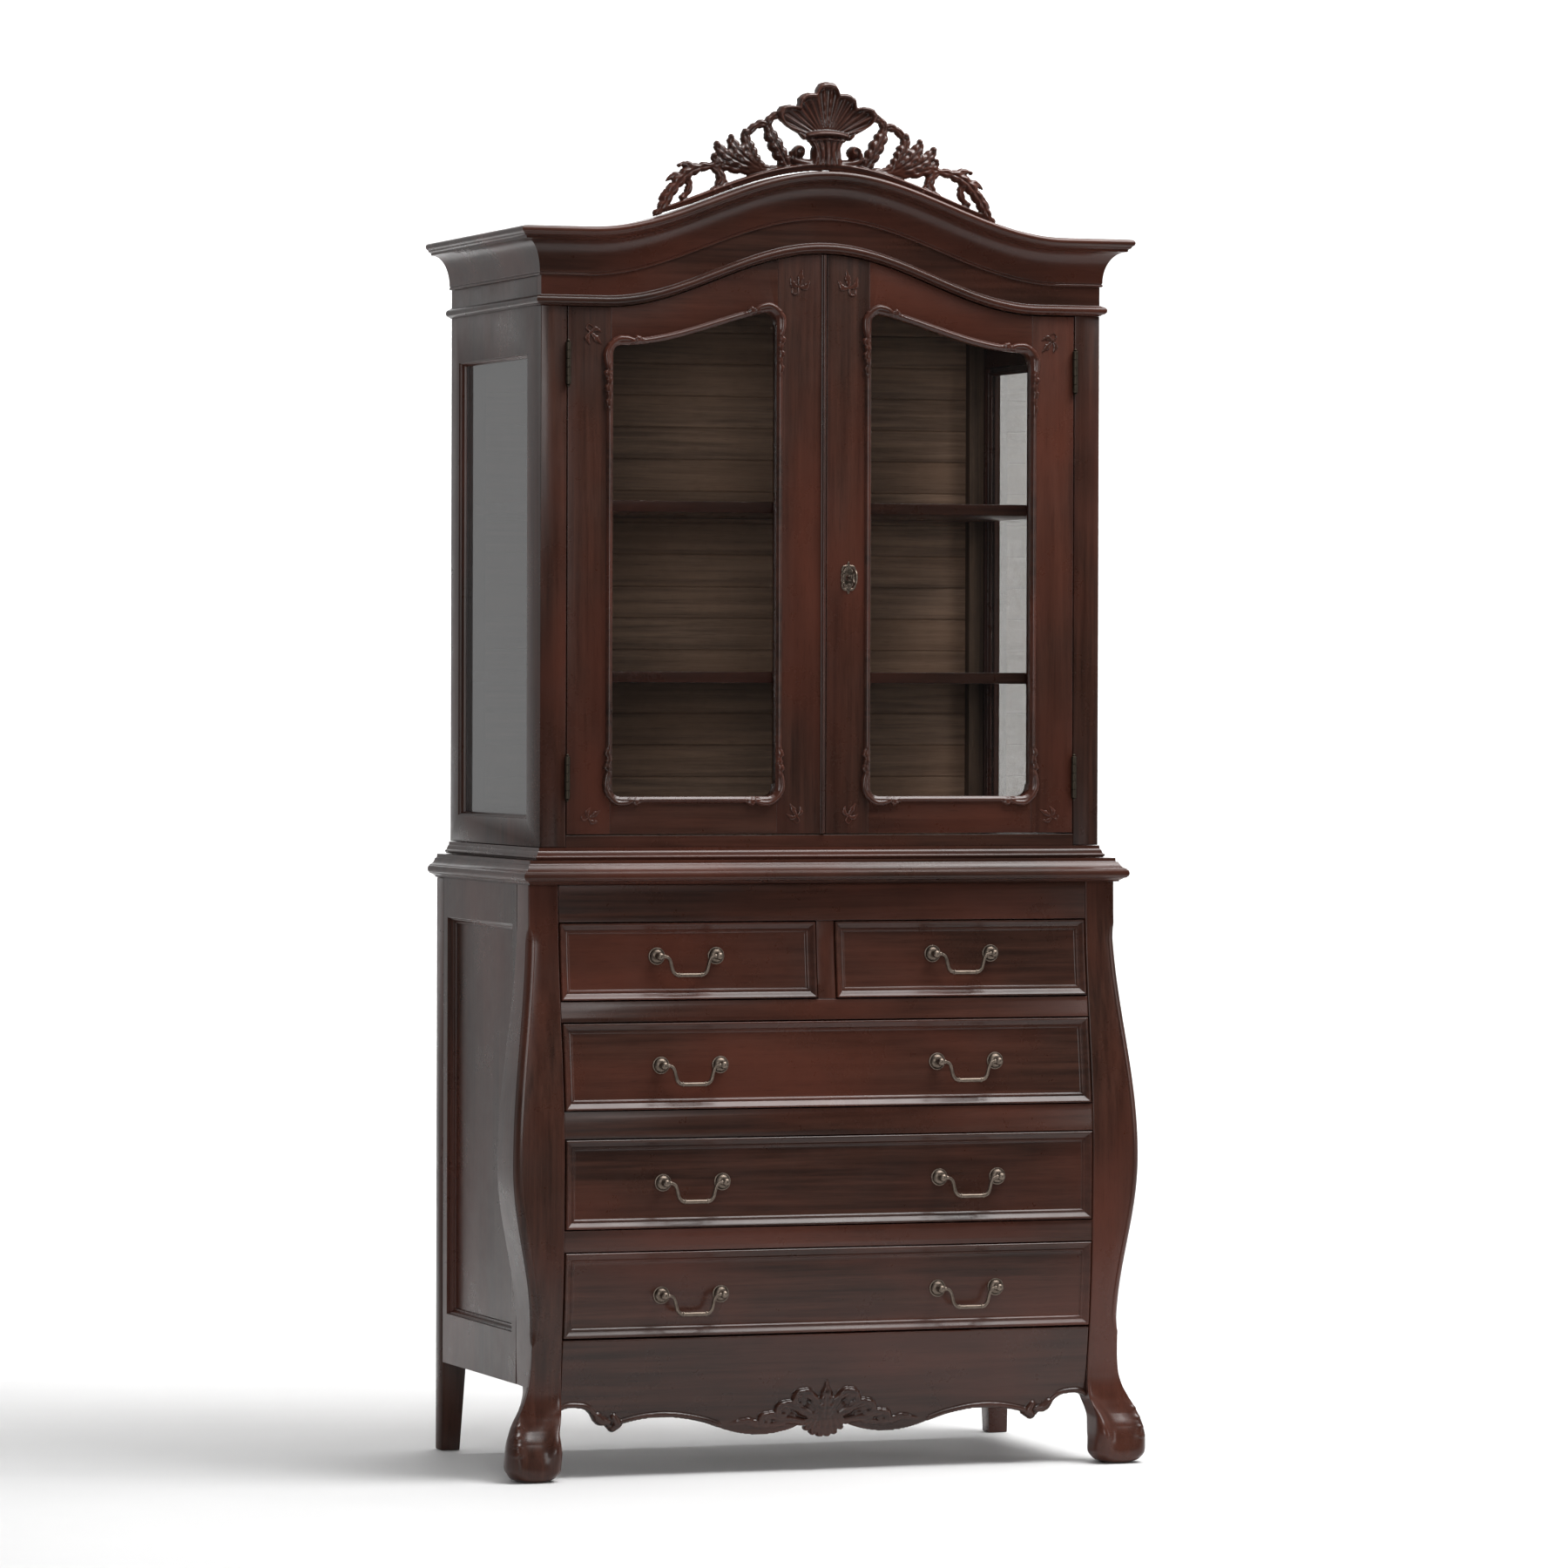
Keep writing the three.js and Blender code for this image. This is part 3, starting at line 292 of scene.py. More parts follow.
pewter = tarnished_metal("tarnished_pewter", (0.20, 0.16, 0.13), (0.070, 0.054, 0.042), (0.36, 0.52))
dark_iron = tarnished_metal("dark_hinge_iron", (0.055, 0.045, 0.034), (0.022, 0.017, 0.013), (0.45, 0.6))
steel = tarnished_metal("dull_steel", (0.40, 0.38, 0.36), (0.12, 0.10, 0.09), (0.35, 0.5))
old_glass = window_glass("window_glass")
print("metals and glass ready")

# %% [markdown]
# ## Making solid pieces
# Four ways of making wood and metal cover the whole cabinet. Lofting joins outlines cut at different
# heights, as a shaper follows templates. A turned piece is a profile spun round its axis. A sawn board is a
# flat outline with softened edges. A carving is a field of heights worked down from a flat blank.

# %% A finished piece from points and faces
rng = np.random.default_rng(11)


def finish_piece(name, points, faces, look, body="carcase", instead_of=(), slot="mahogany", crease=34,
                 bevel=0.0, board=None):
    """Makes the mesh, shades it, gives it its finish and hangs it on a body of the frame."""
    mesh = bpy.data.meshes.new(name)
    mesh.from_pydata(to_frame(points).tolist(), [], faces)
    work = bmesh.new()
    work.from_mesh(mesh)
    bmesh.ops.remove_doubles(work, verts=work.verts, dist=0.00002)
    bmesh.ops.recalc_face_normals(work, faces=work.faces)
    work.to_mesh(mesh)
    work.free()
    number = float(rng.uniform(0, 9)) if board is None else board
    values = mesh.attributes.new("board", "FLOAT", "POINT")
    values.data.foreach_set("value", np.full(len(mesh.vertices), number, np.float32))
    piece = bpy.data.objects.new(name, mesh)
    scene.collection.objects.link(piece)
    mesh.materials.append(look)
    mesh.shade_smooth()
    if bevel:
        soften(piece, bevel)
    else:
        mesh.set_sharp_from_angle(angle=math.radians(crease))
    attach(piece, body)
    if instead_of:
        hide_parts(*instead_of)
    return piece


def soften(piece, width, angle=30):
    """Eased arrises, as a plane and fine paper leave them."""
    edge = piece.modifiers.new("eased_edges", "BEVEL")
    edge.width = width * MM
    edge.segments = 2
    edge.limit_method = "ANGLE"
    edge.angle_limit = math.radians(angle)
    edge.harden_normals = True


def keep_node(name, look, width=0.6):
    """A plain board of the frame, shown as it is with eased edges and its finish."""
    piece = nodes[name]
    piece.data.materials.clear()
    piece.data.materials.append(look)
    piece.data.shade_smooth()
    if width:
        weld = piece.modifiers.new("closed_mesh", "WELD")
        weld.merge_threshold = 0.00002
        soften(piece, width)


# %% Lofts, turnings, tubes and blocks
def loft(rings, close_ring=True, caps=True, close_path=False):
    """Points and faces of rings of equal length, joined one to the next."""
    count = len(rings[0])
    points = [tuple(p) for ring in rings for p in ring]
    faces = []
    last = len(rings) if close_path else len(rings) - 1
    for k in range(last):
        here = k * count
        there = (k + 1) % len(rings) * count
        for i in range(count if close_ring else count - 1):
            j = (i + 1) % count
            faces.append((here + i, here + j, there + j, there + i))
    if caps and not close_path:
        faces.append(tuple(reversed(range(count))))
        faces.append(tuple(range(len(points) - count, len(points))))
    return points, faces


def turned(profile, centre, axis, sides=24):
    """A profile of (radius, distance) spun about an axis through the centre."""
    rings = []
    for radius, out in profile:
        ring = []
        for i in range(sides):
            a = 2 * math.pi * i / sides
            u, v = max(radius, 0.01) * math.cos(a), max(radius, 0.01) * math.sin(a)
            offset = {"X": (out, u, v), "Y": (u, out, v), "Z": (u, v, out)}[axis]
            ring.append(tuple(c + o for c, o in zip(centre, offset)))
        rings.append(ring)
    return loft(rings)


def box_piece(x, y, z):
    corners = [(a, b, c) for c in z for a, b in ((x[0], y[0]), (x[1], y[0]), (x[1], y[1]), (x[0], y[1]))]
    return loft([corners[:4], corners[4:]])


def merged(*parts):
    """Several point-and-face sets as one."""
    points, faces = [], []
    for more_points, more_faces in parts:
        shift = len(points)
        points.extend(more_points)
        faces.extend(tuple(i + shift for i in face) for face in more_faces)
    return points, faces


def mirrored(part):
    points, faces = part
    return [(-x, y, z) for x, y, z in points], [tuple(reversed(face)) for face in faces]


def flat_tube(path, y, radius, sides=14, close_path=False):
    """A round wire that lies in the plane of a constant y; radius may change along it."""
    path = np.asarray(path, float)
    step = np.gradient(path, axis=0)
    if close_path:
        step = np.roll(path, -1, 0) - np.roll(path, 1, 0)
    step /= np.linalg.norm(step, axis=1)[:, None]
    rings = []
    for (x, z), (tx, tz), r in zip(path, step, np.broadcast_to(radius, len(path))):
        angles = 2 * np.pi * np.arange(sides) / sides
        rings.append([(x - tz * r * math.cos(a), y + r * math.sin(a), z + tx * r * math.cos(a))
                      for a in angles])
    return loft(rings, close_path=close_path)


def eased(a, b, c, d, u):
    """The Catmull-Rom blend from b to c at a share u of the way."""
    return 0.5 * (2 * b + (c - a) * u + (2 * a - 5 * b + 4 * c - d) * u ** 2
                  + (3 * b - a - 3 * c + d) * u ** 3)


def smooth_curve(points, count):
    """A Catmull-Rom curve through the points, sampled evenly by its parameter."""
    p = np.asarray(points, float)
    padded = np.vstack([2 * p[0] - p[1], p, 2 * p[-1] - p[-2]])
    out = []
    for t in np.linspace(0, len(p) - 1, count):
        k = min(int(t), len(p) - 2)
        out.append(eased(*padded[k:k + 4], t - k))
    return np.array(out)


def sawn_board(loops, low, high, edge=0.8):
    """A flat shape with holes, drawn in two axes, thickened along the third and with rounded arrises."""
    curve = bpy.data.curves.new("sawn", "CURVE")
    curve.dimensions = "2D"
    curve.fill_mode = "BOTH"
    curve.extrude = (high - low) / 2 - edge
    curve.bevel_depth = edge
    curve.bevel_resolution = 1
    curve.offset = -edge
    for loop in loops:
        spline = curve.splines.new("POLY")
        spline.points.add(len(loop) - 1)
        for point, (u, v) in zip(spline.points, loop):
            point.co = (u, v, 0, 1)
        spline.use_cyclic_u = True
    holder = bpy.data.objects.new("sawn", curve)
    scene.collection.objects.link(holder)
    mesh = bpy.data.meshes.new_from_object(holder.evaluated_get(bpy.context.evaluated_depsgraph_get()))
    middle = (low + high) / 2
    points = [(v.co.x, middle - v.co.z, v.co.y) for v in mesh.vertices]
    faces = [tuple(face.vertices) for face in mesh.polygons]
    bpy.data.objects.remove(holder)
    bpy.data.curves.remove(curve)
    bpy.data.meshes.remove(mesh)
    return points, faces


print("a turned test has", len(turned([(1, 0), (1, 2)], (0, 0, 0), "Z")[1]), "faces")

# %% [markdown]
# ## Carving as a field of heights
# A carver works a flat blank down with gouges, so every point of a carving has one height above the ground.
# The field is made from strokes. A stroke is a curved line with a width and a height that change along it,
# and a section: rounded for stems and beads, veined and toothed for leaves, hollow with raised lips for
# shell flutes. Where strokes meet, the higher one wins. Where no stroke reaches, the wood is cut right
# through.

# %% The carver's strokes
class Relief:
    """A grid of heights over a patch of (x, z), in millimetres."""

    def __init__(self, x, z, step):
        self.step = step
        self.xs = np.arange(x[0], x[1] + step, step)
        self.zs = np.arange(z[0], z[1] + step, step)
        self.height = np.full((len(self.zs), len(self.xs)), -1.0)

    def near(self, line, reach):
        """The part of the grid that a line may touch."""
        i = np.searchsorted(self.xs, [line[:, 0].min() - reach, line[:, 0].max() + reach])
        k = np.searchsorted(self.zs, [line[:, 1].min() - reach, line[:, 1].max() + reach])
        return slice(k[0], k[1]), slice(i[0], i[1])

    def stroke(self, points, widths, heights, section="round", teeth=0, samples=36):
        line = smooth_curve(points, samples)
        width = np.interp(np.linspace(0, 1, samples), np.linspace(0, 1, len(widths)), widths)
        rise = np.interp(np.linspace(0, 1, samples), np.linspace(0, 1, len(heights)), heights)
        rows, columns = self.near(line, width.max() + self.step)
        grid_x, grid_z = np.meshgrid(self.xs[columns], self.zs[rows])
        if not grid_x.size:
            return
        best = np.full(grid_x.shape, 1e9)
        along_line = np.zeros(grid_x.shape)
        side = np.zeros(grid_x.shape)
        for k in range(samples - 1):
            (ax, az), (bx, bz) = line[k], line[k + 1]
            length = math.hypot(bx - ax, bz - az) + 1e-9
            ux, uz = (bx - ax) / length, (bz - az) / length
            u = np.clip((grid_x - ax) * ux + (grid_z - az) * uz, 0, length)
            off_x, off_z = grid_x - ax - u * ux, grid_z - az - u * uz
            distance = np.hypot(off_x, off_z)
            closer = distance < best
            best = np.where(closer, distance, best)
            along_line = np.where(closer, (k + u / length) / (samples - 1), along_line)
            side = np.where(closer, np.sign(off_x * -uz + off_z * ux), side)
        local_width = np.interp(along_line, np.linspace(0, 1, samples), width)
        local_rise = np.interp(along_line, np.linspace(0, 1, samples), rise)
        if teeth:
            notch = np.abs(np.sin(np.pi * (teeth * along_line - 0.15)))
            local_width = local_width * (0.72 + 0.28 * notch ** 0.6)
        s = best / local_width
        inside = s < 1
        s = np.clip(s, 0, 1)
        crown = np.sqrt(1 - s ** 2)
        if section == "leaf":
            vein = 0.22 * np.exp(-(s / 0.13) ** 2)
            ribs = 0.16 * np.cos(2 * np.pi * (teeth * along_line - 0.15 - 0.9 * s)) * s if teeth else 0
            crown = crown ** 0.8 * (1 + ribs) - vein
        elif section == "flute":
            crown = np.sqrt(np.clip(1 - s ** 8, 0, 1)) * (0.60 + 0.40 * s ** 1.6)
        elif section == "flat":
            crown = np.sqrt(np.clip(1 - s ** 6, 0, 1))
        value = np.where(inside, local_rise * np.maximum(crown, 0.02), -1)
        patch = self.height[rows, columns]
        self.height[rows, columns] = np.maximum(patch, value)

    def both_sides(self, points, *rest, **more):
        self.stroke(points, *rest, **more)
        self.stroke([(-x, z) for x, z in points], *rest, **more)

    def dome(self, x, z, radius, rise):
        self.stroke([(x, z), (x + 0.01, z)], [radius, radius], [rise, rise], samples=2)

    def solid(self, front, back, keep=None, passes=2):
        """The carved wood between the front surface and a back, cut away where the height is below nought."""
        present = self.height > 0
        if keep is not None:
            present = present | keep
        height = np.maximum(self.height, 0)
        for _ in range(passes):
            padded = np.pad(height, 1, mode="edge")
            ring = (padded[:-2, 1:-1] + padded[2:, 1:-1] + padded[1:-1, :-2] + padded[1:-1, 2:]) / 4
            height = np.where(present, 0.55 * height + 0.45 * ring, height)
        cell = present[:-1, :-1] & present[1:, :-1] & present[:-1, 1:] & present[1:, 1:]
        rows, columns = np.nonzero(cell)
        used = np.zeros(present.shape, bool)
        for dr, dc in ((0, 0), (0, 1), (1, 1), (1, 0)):
            used[rows + dr, columns + dc] = True
        number = np.full(present.shape, -1)
        number[used] = np.arange(used.sum())
        grid_x, grid_z = np.meshgrid(self.xs, self.zs)
        x, z, h = grid_x[used], grid_z[used], height[used]
        count = len(x)
        points = np.vstack([np.column_stack([x, front(x, z) - h, z]),
                            np.column_stack([x, back(x, z), z])])
        corner = [number[rows, columns], number[rows, columns + 1], number[rows + 1, columns + 1],
                  number[rows + 1, columns]]
        faces = np.column_stack(corner)
        faces = np.vstack([faces, faces[:, ::-1] + count]).tolist()
        padded = np.pad(cell, 1)
        for dr, dc, first, second in ((-1, 0, 0, 1), (0, 1, 1, 2), (1, 0, 2, 3), (0, -1, 3, 0)):
            open_edge = ~padded[rows + 1 + dr, columns + 1 + dc]
            a, b = corner[first][open_edge], corner[second][open_edge]
            faces.extend(np.column_stack([b, a, a + count, b + count]).tolist())
        return points, faces


def ease_carving(piece, factor=0.5, repeats=4):
    """Sanding: takes the grid's steps off the edges of a carving."""
    smooth = piece.modifiers.new("sanded", "SMOOTH")
    smooth.factor = factor
    smooth.iterations = repeats


print("a relief of 10 by 10 mm has", Relief((0, 10), (0, 10), 1).height.size, "heights")

# %% [markdown]
# ## The chest's front posts and feet
# Each front post is one length of timber. It swells with the chest, its outer corner is rounded between two
# stopped ends, and below the apron it turns into a short bracket leg with raised edges that run down into a
# thick pad foot. Templates at a few heights fix the shape, and the loft flows through them.

# %% Front posts
CHEST_HALF = 500
BAY_HALF = 450
POST_DEPTH = 62
CHEST_DEPTH = 510
CHEST_TOP = 946
BAND = (214, 876)
BAND_RADIUS = 12

# Height: inner x, outer x at the front and at the back, front y, back y, corner radius, raised edge.
foot_templates = [
    (0, 473, 523, 516, -47, 3, 24, 0.0),
    (5, 462.5, 534.5, 529, -58, 13.5, 32, 0.0),
    (16, 455, 542.5, 540, -66, 20.5, 36, 0.0),
    (32, 454.5, 544, 540.5, -67, 21.5, 37, 0.0),
    (48, 455, 543.5, 538.5, -65, 21.5, 36, 0.2),
    (62, 456.5, 541, 534.5, -58.5, 21, 32, 0.8),
    (76, 457.5, 536.5, 528, -47.5, 20.5, 25, 1.6),
    (90, 455, 530, 519, -36, 21.5, 18, 2.4),
    (104, 451.5, 521.5, 510, -26.5, 24, 12, 2.9),
    (122, 450, 511.5, 502.5, -20.5, 27, 9, 3.0),
    (144, 450, 504, 499.5, -18.6, 29, 7, 2.8),
    (172, 450, 501, 499.5, -20.4, 62, 6, 2.2),
    (206, 450, 500, 500, -24.6, 62, 4, 0.8),
]
SQUARE_ABOVE = 147       # the post is cut square to its full depth above this height
NUB_LOW, NUB_HIGH = 40, 100
NUB_HALF_PITCH, NUB_RISE = 7.5, 1.6
HOLLOW_HALF = 27
# Heights, and the depth of the hollow down the front at each.
hollow_heights, hollow_depths = [0, 16, 40, 60, 80, 95, 115, 145], [0, 9, 14, 15, 12, 7, 2, 0]


def post_section(z):
    """Inner x, two outer x, front y, back y, outer corner radius and raised edge of the post at a height."""
    if z > foot_templates[-1][0]:
        outer = CHEST_HALF + float(belly_side(z))
        return np.array([BAY_HALF, outer, outer, -float(belly_forward(z)), POST_DEPTH, 2, 0])
    keys = [row[0] for row in foot_templates]
    k = int(np.clip(np.searchsorted(keys, z) - 1, 0, len(keys) - 2))
    rows = np.array(foot_templates[max(k - 1, 0):k + 3])
    if k == 0:
        rows = np.vstack([2 * rows[0] - rows[1], rows])
    if len(rows) < 4:
        rows = np.vstack([rows, rows[-1]])
    section = eased(*rows[:, 1:], (z - keys[k]) / (keys[k + 1] - keys[k]))
    section[4] = POST_DEPTH if z > SQUARE_ABOVE else min(section[4], 29)
    return section


def post_ring(z, steps=10):
    x_in, x_front, x_rear, y_front, y_back, radius, ridge = post_section(z)
    inner_radius = 2.5
    quirk = 0.0
    if BAND[0] < z < BAND[1]:
        near_end = min(z - BAND[0], BAND[1] - z)
        grow = min(1, near_end / 22) ** 0.5
        radius = 2 + (BAND_RADIUS - 2) * grow
        quirk = 1.5 * grow
    elif z < BAND[0]:
        inner_radius = min(radius, 2.5 + min(ridge, 2.5) * 1.6 + max(0, 92 - z) * 0.5)
    rear_radius = 2.5 + np.clip(110 - z, 0, 70) * 0.45
    # Low on the leg the outer ridge breaks into a row of small nubs.
    outer_ridge = ridge
    if NUB_LOW < z < NUB_HIGH:
        outer_ridge = ridge + NUB_RISE * max(0, math.sin((z - NUB_LOW) * math.pi / NUB_HALF_PITCH))
    middle = (x_in + x_front) / 2
    dent = float(np.interp(z, hollow_heights, hollow_depths))
    ring = []
    corners = [(x_front, y_front, 1, -1, radius), (x_rear, y_back, 1, 1, rear_radius),
               (x_in, y_back, -1, 1, rear_radius), (x_in, y_front, -1, -1, inner_radius)]
    for number, (cx, cy, sx, sy, r) in enumerate(corners):
        start = (-0.5, 0, 0.5, 1)[number] * math.pi
        for i in range(steps + 1):
            a = start + 0.5 * math.pi * i / steps
            bulge = 0
            if number == 0 and quirk and i in (0, steps):
                bulge = -quirk
            if number == 0 and ridge:
                bulge = outer_ridge * math.exp(-((i - 5) / 1.6) ** 2)
            if number == 3 and ridge:
                bulge = ridge * math.exp(-((i - 5) / 2.4) ** 2)
            ring.append((cx - sx * r + (r + bulge) * math.cos(a), cy - sy * r + (r + bulge) * math.sin(a), z))
        # Two more points just past the corner carry the quirk back to the flat.
        nx, ny, _ = ring[-1]
        for reach in (2.2, 5.0):
            past = [(cx, ny + reach, z), (nx - reach, cy, z), (cx, ny - reach, z), (nx + reach, cy, z)]
            ring.append(past[number])
        if number == 3:
            ring += [(nx + 5 + (x_front - radius - nx - 5) * u, cy, z) for u in (0.2, 0.4, 0.6, 0.8)]
    # The front is hollowed between the two ridges.
    return [(x, y + (dent * math.exp(-((x - middle) / HOLLOW_HALF) ** 4) if y < y_front + radius else 0), z)
            for x, y, z in ring]


heights = np.unique(np.concatenate([
    np.linspace(0, 10, 6), np.linspace(10, 36, 9), np.linspace(36, 104, 46), np.linspace(104, 206, 26),
    [SQUARE_ABOVE - 0.2, SQUARE_ABOVE + 0.2], np.linspace(206, 260, 16), np.linspace(260, 830, 50),
    np.linspace(830, 900, 18), [930, CHEST_TOP - GAP]]))
post = loft([post_ring(float(z)) for z in heights])
for side, part in (("right", post), ("left", mirrored(post))):
    finish_piece(f"front_post_{side}", *part, mahogany["Z"], instead_of=[f"leg_front_{side}"], crease=40)
print("front posts:", len(heights), "levels")

# %% [markdown]
# ## Back legs, sides and boards of the chest
# Behind the posts the chest is plain framed joinery. The back legs are square and taper below the case.
# Each side is a frame with a thin panel sunk in it, and a small moulding is planted round the panel. Boards
# that are flat on the real chest keep the frame's own shape and only get eased edges.

# %% Sides with sunk panels
SIDE_OUTER = 500
SIDE_THICK = 22
PANEL_SINK = 14
side_y = (62.3, 469.7)
side_z = (147, 945.7)
panel_y = (side_y[0] + 23, side_y[1] - 22)
panel_z = (side_z[0] + 81, side_z[1] - 64)


def four_corners(y, z):
    return [(y[0], z[0]), (y[1], z[0]), (y[1], z[1]), (y[0], z[1])]


def chest_side():
    outer = four_corners(side_y, side_z)
    inner = four_corners(panel_y, panel_z)
    rings = [[(x, y, z) for y, z in outer] for x in (SIDE_OUTER - SIDE_THICK, SIDE_OUTER)]
    # Inset from the opening and depth below the frame: an eased arris, a reveal, a small ogee, the panel.
    for inset, depth in ((0, 0), (0.8, 0.6), (1.0, 4.0), (2.4, 4.4), (4.0, 5.4), (5.4, 7.2), (6.2, 9.4),
                         (7.6, 10.6), (9.6, 11.0), (10.2, 12.6), (10.2, PANEL_SINK)):
        moved = [(y + inset * (1 if i in (0, 3) else -1), z + inset * (1 if i in (0, 1) else -1))
                 for i, (y, z) in enumerate(inner)]
        rings.append([(SIDE_OUTER - depth, y, z) for y, z in moved])
    return loft(rings)


side = chest_side()
for hand, part in (("right", side), ("left", mirrored(side))):
    finish_piece(f"panelled_side_{hand}", *part, mahogany["Z"], instead_of=[f"chest_side_{hand}"], crease=24)
for name in ("leg_back_right", "leg_back_left"):
    keep_node(name, mahogany["Z"], 1.2)
for name in ("web_frame_1", "web_frame_2", "web_frame_3", "top_rail"):
    keep_node(name, mahogany["X"], 1.0)
keep_node("drawer_divider", mahogany["Z"], 0.8)
keep_node("chest_back", inside_wood)
keep_node("chest_bottom", inside_wood)
print("sides and boards of the chest done")

# %% [markdown]
# ## Drawers
# Each drawer front is shaped to the swelling. A moulding runs round it just inside the edge and steps down
# to a sunk field, with mitred corners. The lower run faces up and catches the light along the whole drawer.
# Behind the front is a plain dovetailed box of pale wood.

# %% Drawer fronts
# Inset from the drawer's edge, and depth below its face.
drawer_moulding = [
    (0.0, 2.0), (0.35, 0.8), (1.2, 0.0), (2.6, 0.0), (3.2, 0.3), (5.2, 1.9), (7.4, 3.7), (9.4, 5.3),
    (10.4, 5.9), (11.0, 5.9), (11.4, 5.5), (12.6, 5.2), (13.8, 5.5), (14.6, 6.3), (15.4, 7.2), (16.4, 7.8),
    (17.4, 8.0),
]
ROW_ONE = (760, 886)
rows = {"4": (223, 363), "3": (397, 543), "2": (586, 727), "1": ROW_ONE}
CLEARANCE = 2
DRAWER_BACK = 14
DIVIDER_HALF = 15


def drawer_front(x, z):
    nz, nx = 28, 3
    rings = []

    def ring(inset, y_of):
        a, b, c, d = x[0] + inset, x[1] - inset, z[0] + inset, z[1] - inset
        walk = [(u, c) for u in np.linspace(a, b, nx + 1)[:-1]]
        walk += [(b, w) for w in np.linspace(c, d, nz + 1)[:-1]]
        walk += [(u, d) for u in np.linspace(b, a, nx + 1)[:-1]]
        walk += [(a, w) for w in np.linspace(d, c, nz + 1)[:-1]]
        return [(u, y_of(w), w) for u, w in walk]

    rings.append(ring(0, lambda w: DRAWER_BACK))
    for inset, depth in drawer_moulding:
        rings.append(ring(inset, lambda w, depth=depth: -1.2 - float(belly_forward(w)) + depth))
    points, faces = loft(rings, caps=False)
    count = len(rings[0])
    for base, flip in ((0, True), (len(points) - count, False)):
        right = [base + nx + k for k in range(nz + 1)]
        left = [base + (2 * nx + 2 * nz - k) % count for k in range(nz + 1)]
        for k in range(nz):
            quad = (left[k], right[k], right[k + 1], left[k + 1])
            faces.append(tuple(reversed(quad)) if flip else quad)
        low = [base + i for i in range(nx + 1)]
        high = [base + nx + nz + i for i in range(nx + 1)]
        faces.append(tuple(low) if flip else tuple(reversed(low)))
        faces.append(tuple(high) if flip else tuple(reversed(high)))
    return points, [face for face in faces if len(set(face)) > 2]


drawers = {
    "1_left": (rows["1"], (-BAY_HALF, -DIVIDER_HALF)), "1_right": (rows["1"], (DIVIDER_HALF, BAY_HALF)),
    "2": (rows["2"], (-BAY_HALF, BAY_HALF)), "3": (rows["3"], (-BAY_HALF, BAY_HALF)),
    "4": (rows["4"], (-BAY_HALF, BAY_HALF)),
}
for name, ((low, high), (x0, x1)) in drawers.items():
    part = drawer_front((x0 + CLEARANCE, x1 - CLEARANCE), (low + CLEARANCE, high - CLEARANCE))
    finish_piece(f"moulded_front_{name}", *part, mahogany["X"], f"drawer_{name}",
                 [f"drawer_front_{name}"], crease=24)
    keep_node(f"drawer_box_{name}", drawer_wood, 0.8)
print("drawers:", len(drawers))

# %% [markdown]
# ## Drawer pulls
# Each pull is a swan-necked bail that hangs between two round-headed posts. A domed rosette with a turned
# edge covers each post's hole, and the post goes on through the front to a nut inside. The rosettes stay
# with the drawer, and the bail swings by itself.

# %% Posts, rosettes and bails
PULL_SPACING = 100
PULL_STANDOFF = 20
FIELD_DEPTH = 7
pull_lift = {"1": 8, "2": 1, "3": 1, "4": -2}
pull_centres = {"1_left": (-235,), "1_right": (235,), "2": (-235, 235), "3": (-235, 235), "4": (-235, 235)}
rosette = [(0, 0.6), (13.2, 0.6), (13.9, 0.0), (14.0, -1.0), (13.6, -2.0), (12.6, -2.5), (11.9, -2.4),
           (11.5, -3.0), (10.8, -4.6), (9.4, -6.2), (7.4, -7.3), (5.6, -7.8), (5.0, -8.0), (4.6, -8.8),
           (3.6, -9.6), (3.3, -11.0), (3.4, -13.0), (4.2, -14.2), (5.6, -15.4), (6.5, -17.4), (6.7, -20.0),
           (6.2, -22.4), (4.8, -24.4), (2.8, -25.6), (0, -26.2)]
nut = [(0, 9.0), (3.0, 9.0), (3.0, 6.6), (7.5, 6.4), (7.5, 2.4), (8.5, 2.2), (8.5, 1.2), (0, 1.2)]


def bail(x, y, z):
    half = PULL_SPACING / 2
    side = [(-half + 5.2, 0.2), (-half + 10, -0.6), (-half + 14.5, -3.2), (-half + 17.2, -8.6),
            (-half + 19.0, -15.5), (-half + 21.5, -23.5), (-half + 26.5, -28.6), (-half + 34, -30)]
    path = smooth_curve(side + [(0, -30)] + [(-u, v) for u, v in reversed(side)], 90)
    share = np.abs(np.linspace(-1, 1, len(path)))
    radius = 2.75 + 0.7 * np.exp(-((share - 0.0) / 0.32) ** 2) + 0.9 * np.exp(-((share - 0.96) / 0.05) ** 2)
    wire = flat_tube(path + np.array([x, z]), y, radius)
    beads = []
    for s in (-1, 1):
        centre = (x + s * (half - 31), y, z - 29.6)
        beads.append(turned([(2.6, -1.6), (4.0, -1.0), (4.3, 0), (4.0, 1.0), (2.6, 1.6)], centre, "X", 14))
    return merged(wire, *beads)


pulls = 0
for name, centres in pull_centres.items():
    (low, high), _ = drawers[name]
    z = (low + high) / 2 + pull_lift[name[0]]
    face = FIELD_DEPTH - float(belly_forward(z))
    for number, x in enumerate(centres):
        bail_name = name if len(centres) == 1 else name + ("_left", "_right")[number]
        studs = []
        for s in (-1, 1):
            spot = (x + s * PULL_SPACING / 2, face, z)
            studs.append(turned(rosette, spot, "Y", 36))
            studs.append(turned(nut, (spot[0], DRAWER_BACK, z), "Y", 6))
        finish_piece(f"rosettes_{bail_name}", *merged(*studs), pewter, f"drawer_{name}",
                     slot="pewter", crease=40)
        finish_piece(f"swan_neck_{bail_name}", *bail(x, face - PULL_STANDOFF, z), pewter,
                     f"bail_{bail_name}", [f"bail_{bail_name}"], slot="pewter", crease=50)
        pulls += 1
print("pulls:", pulls)

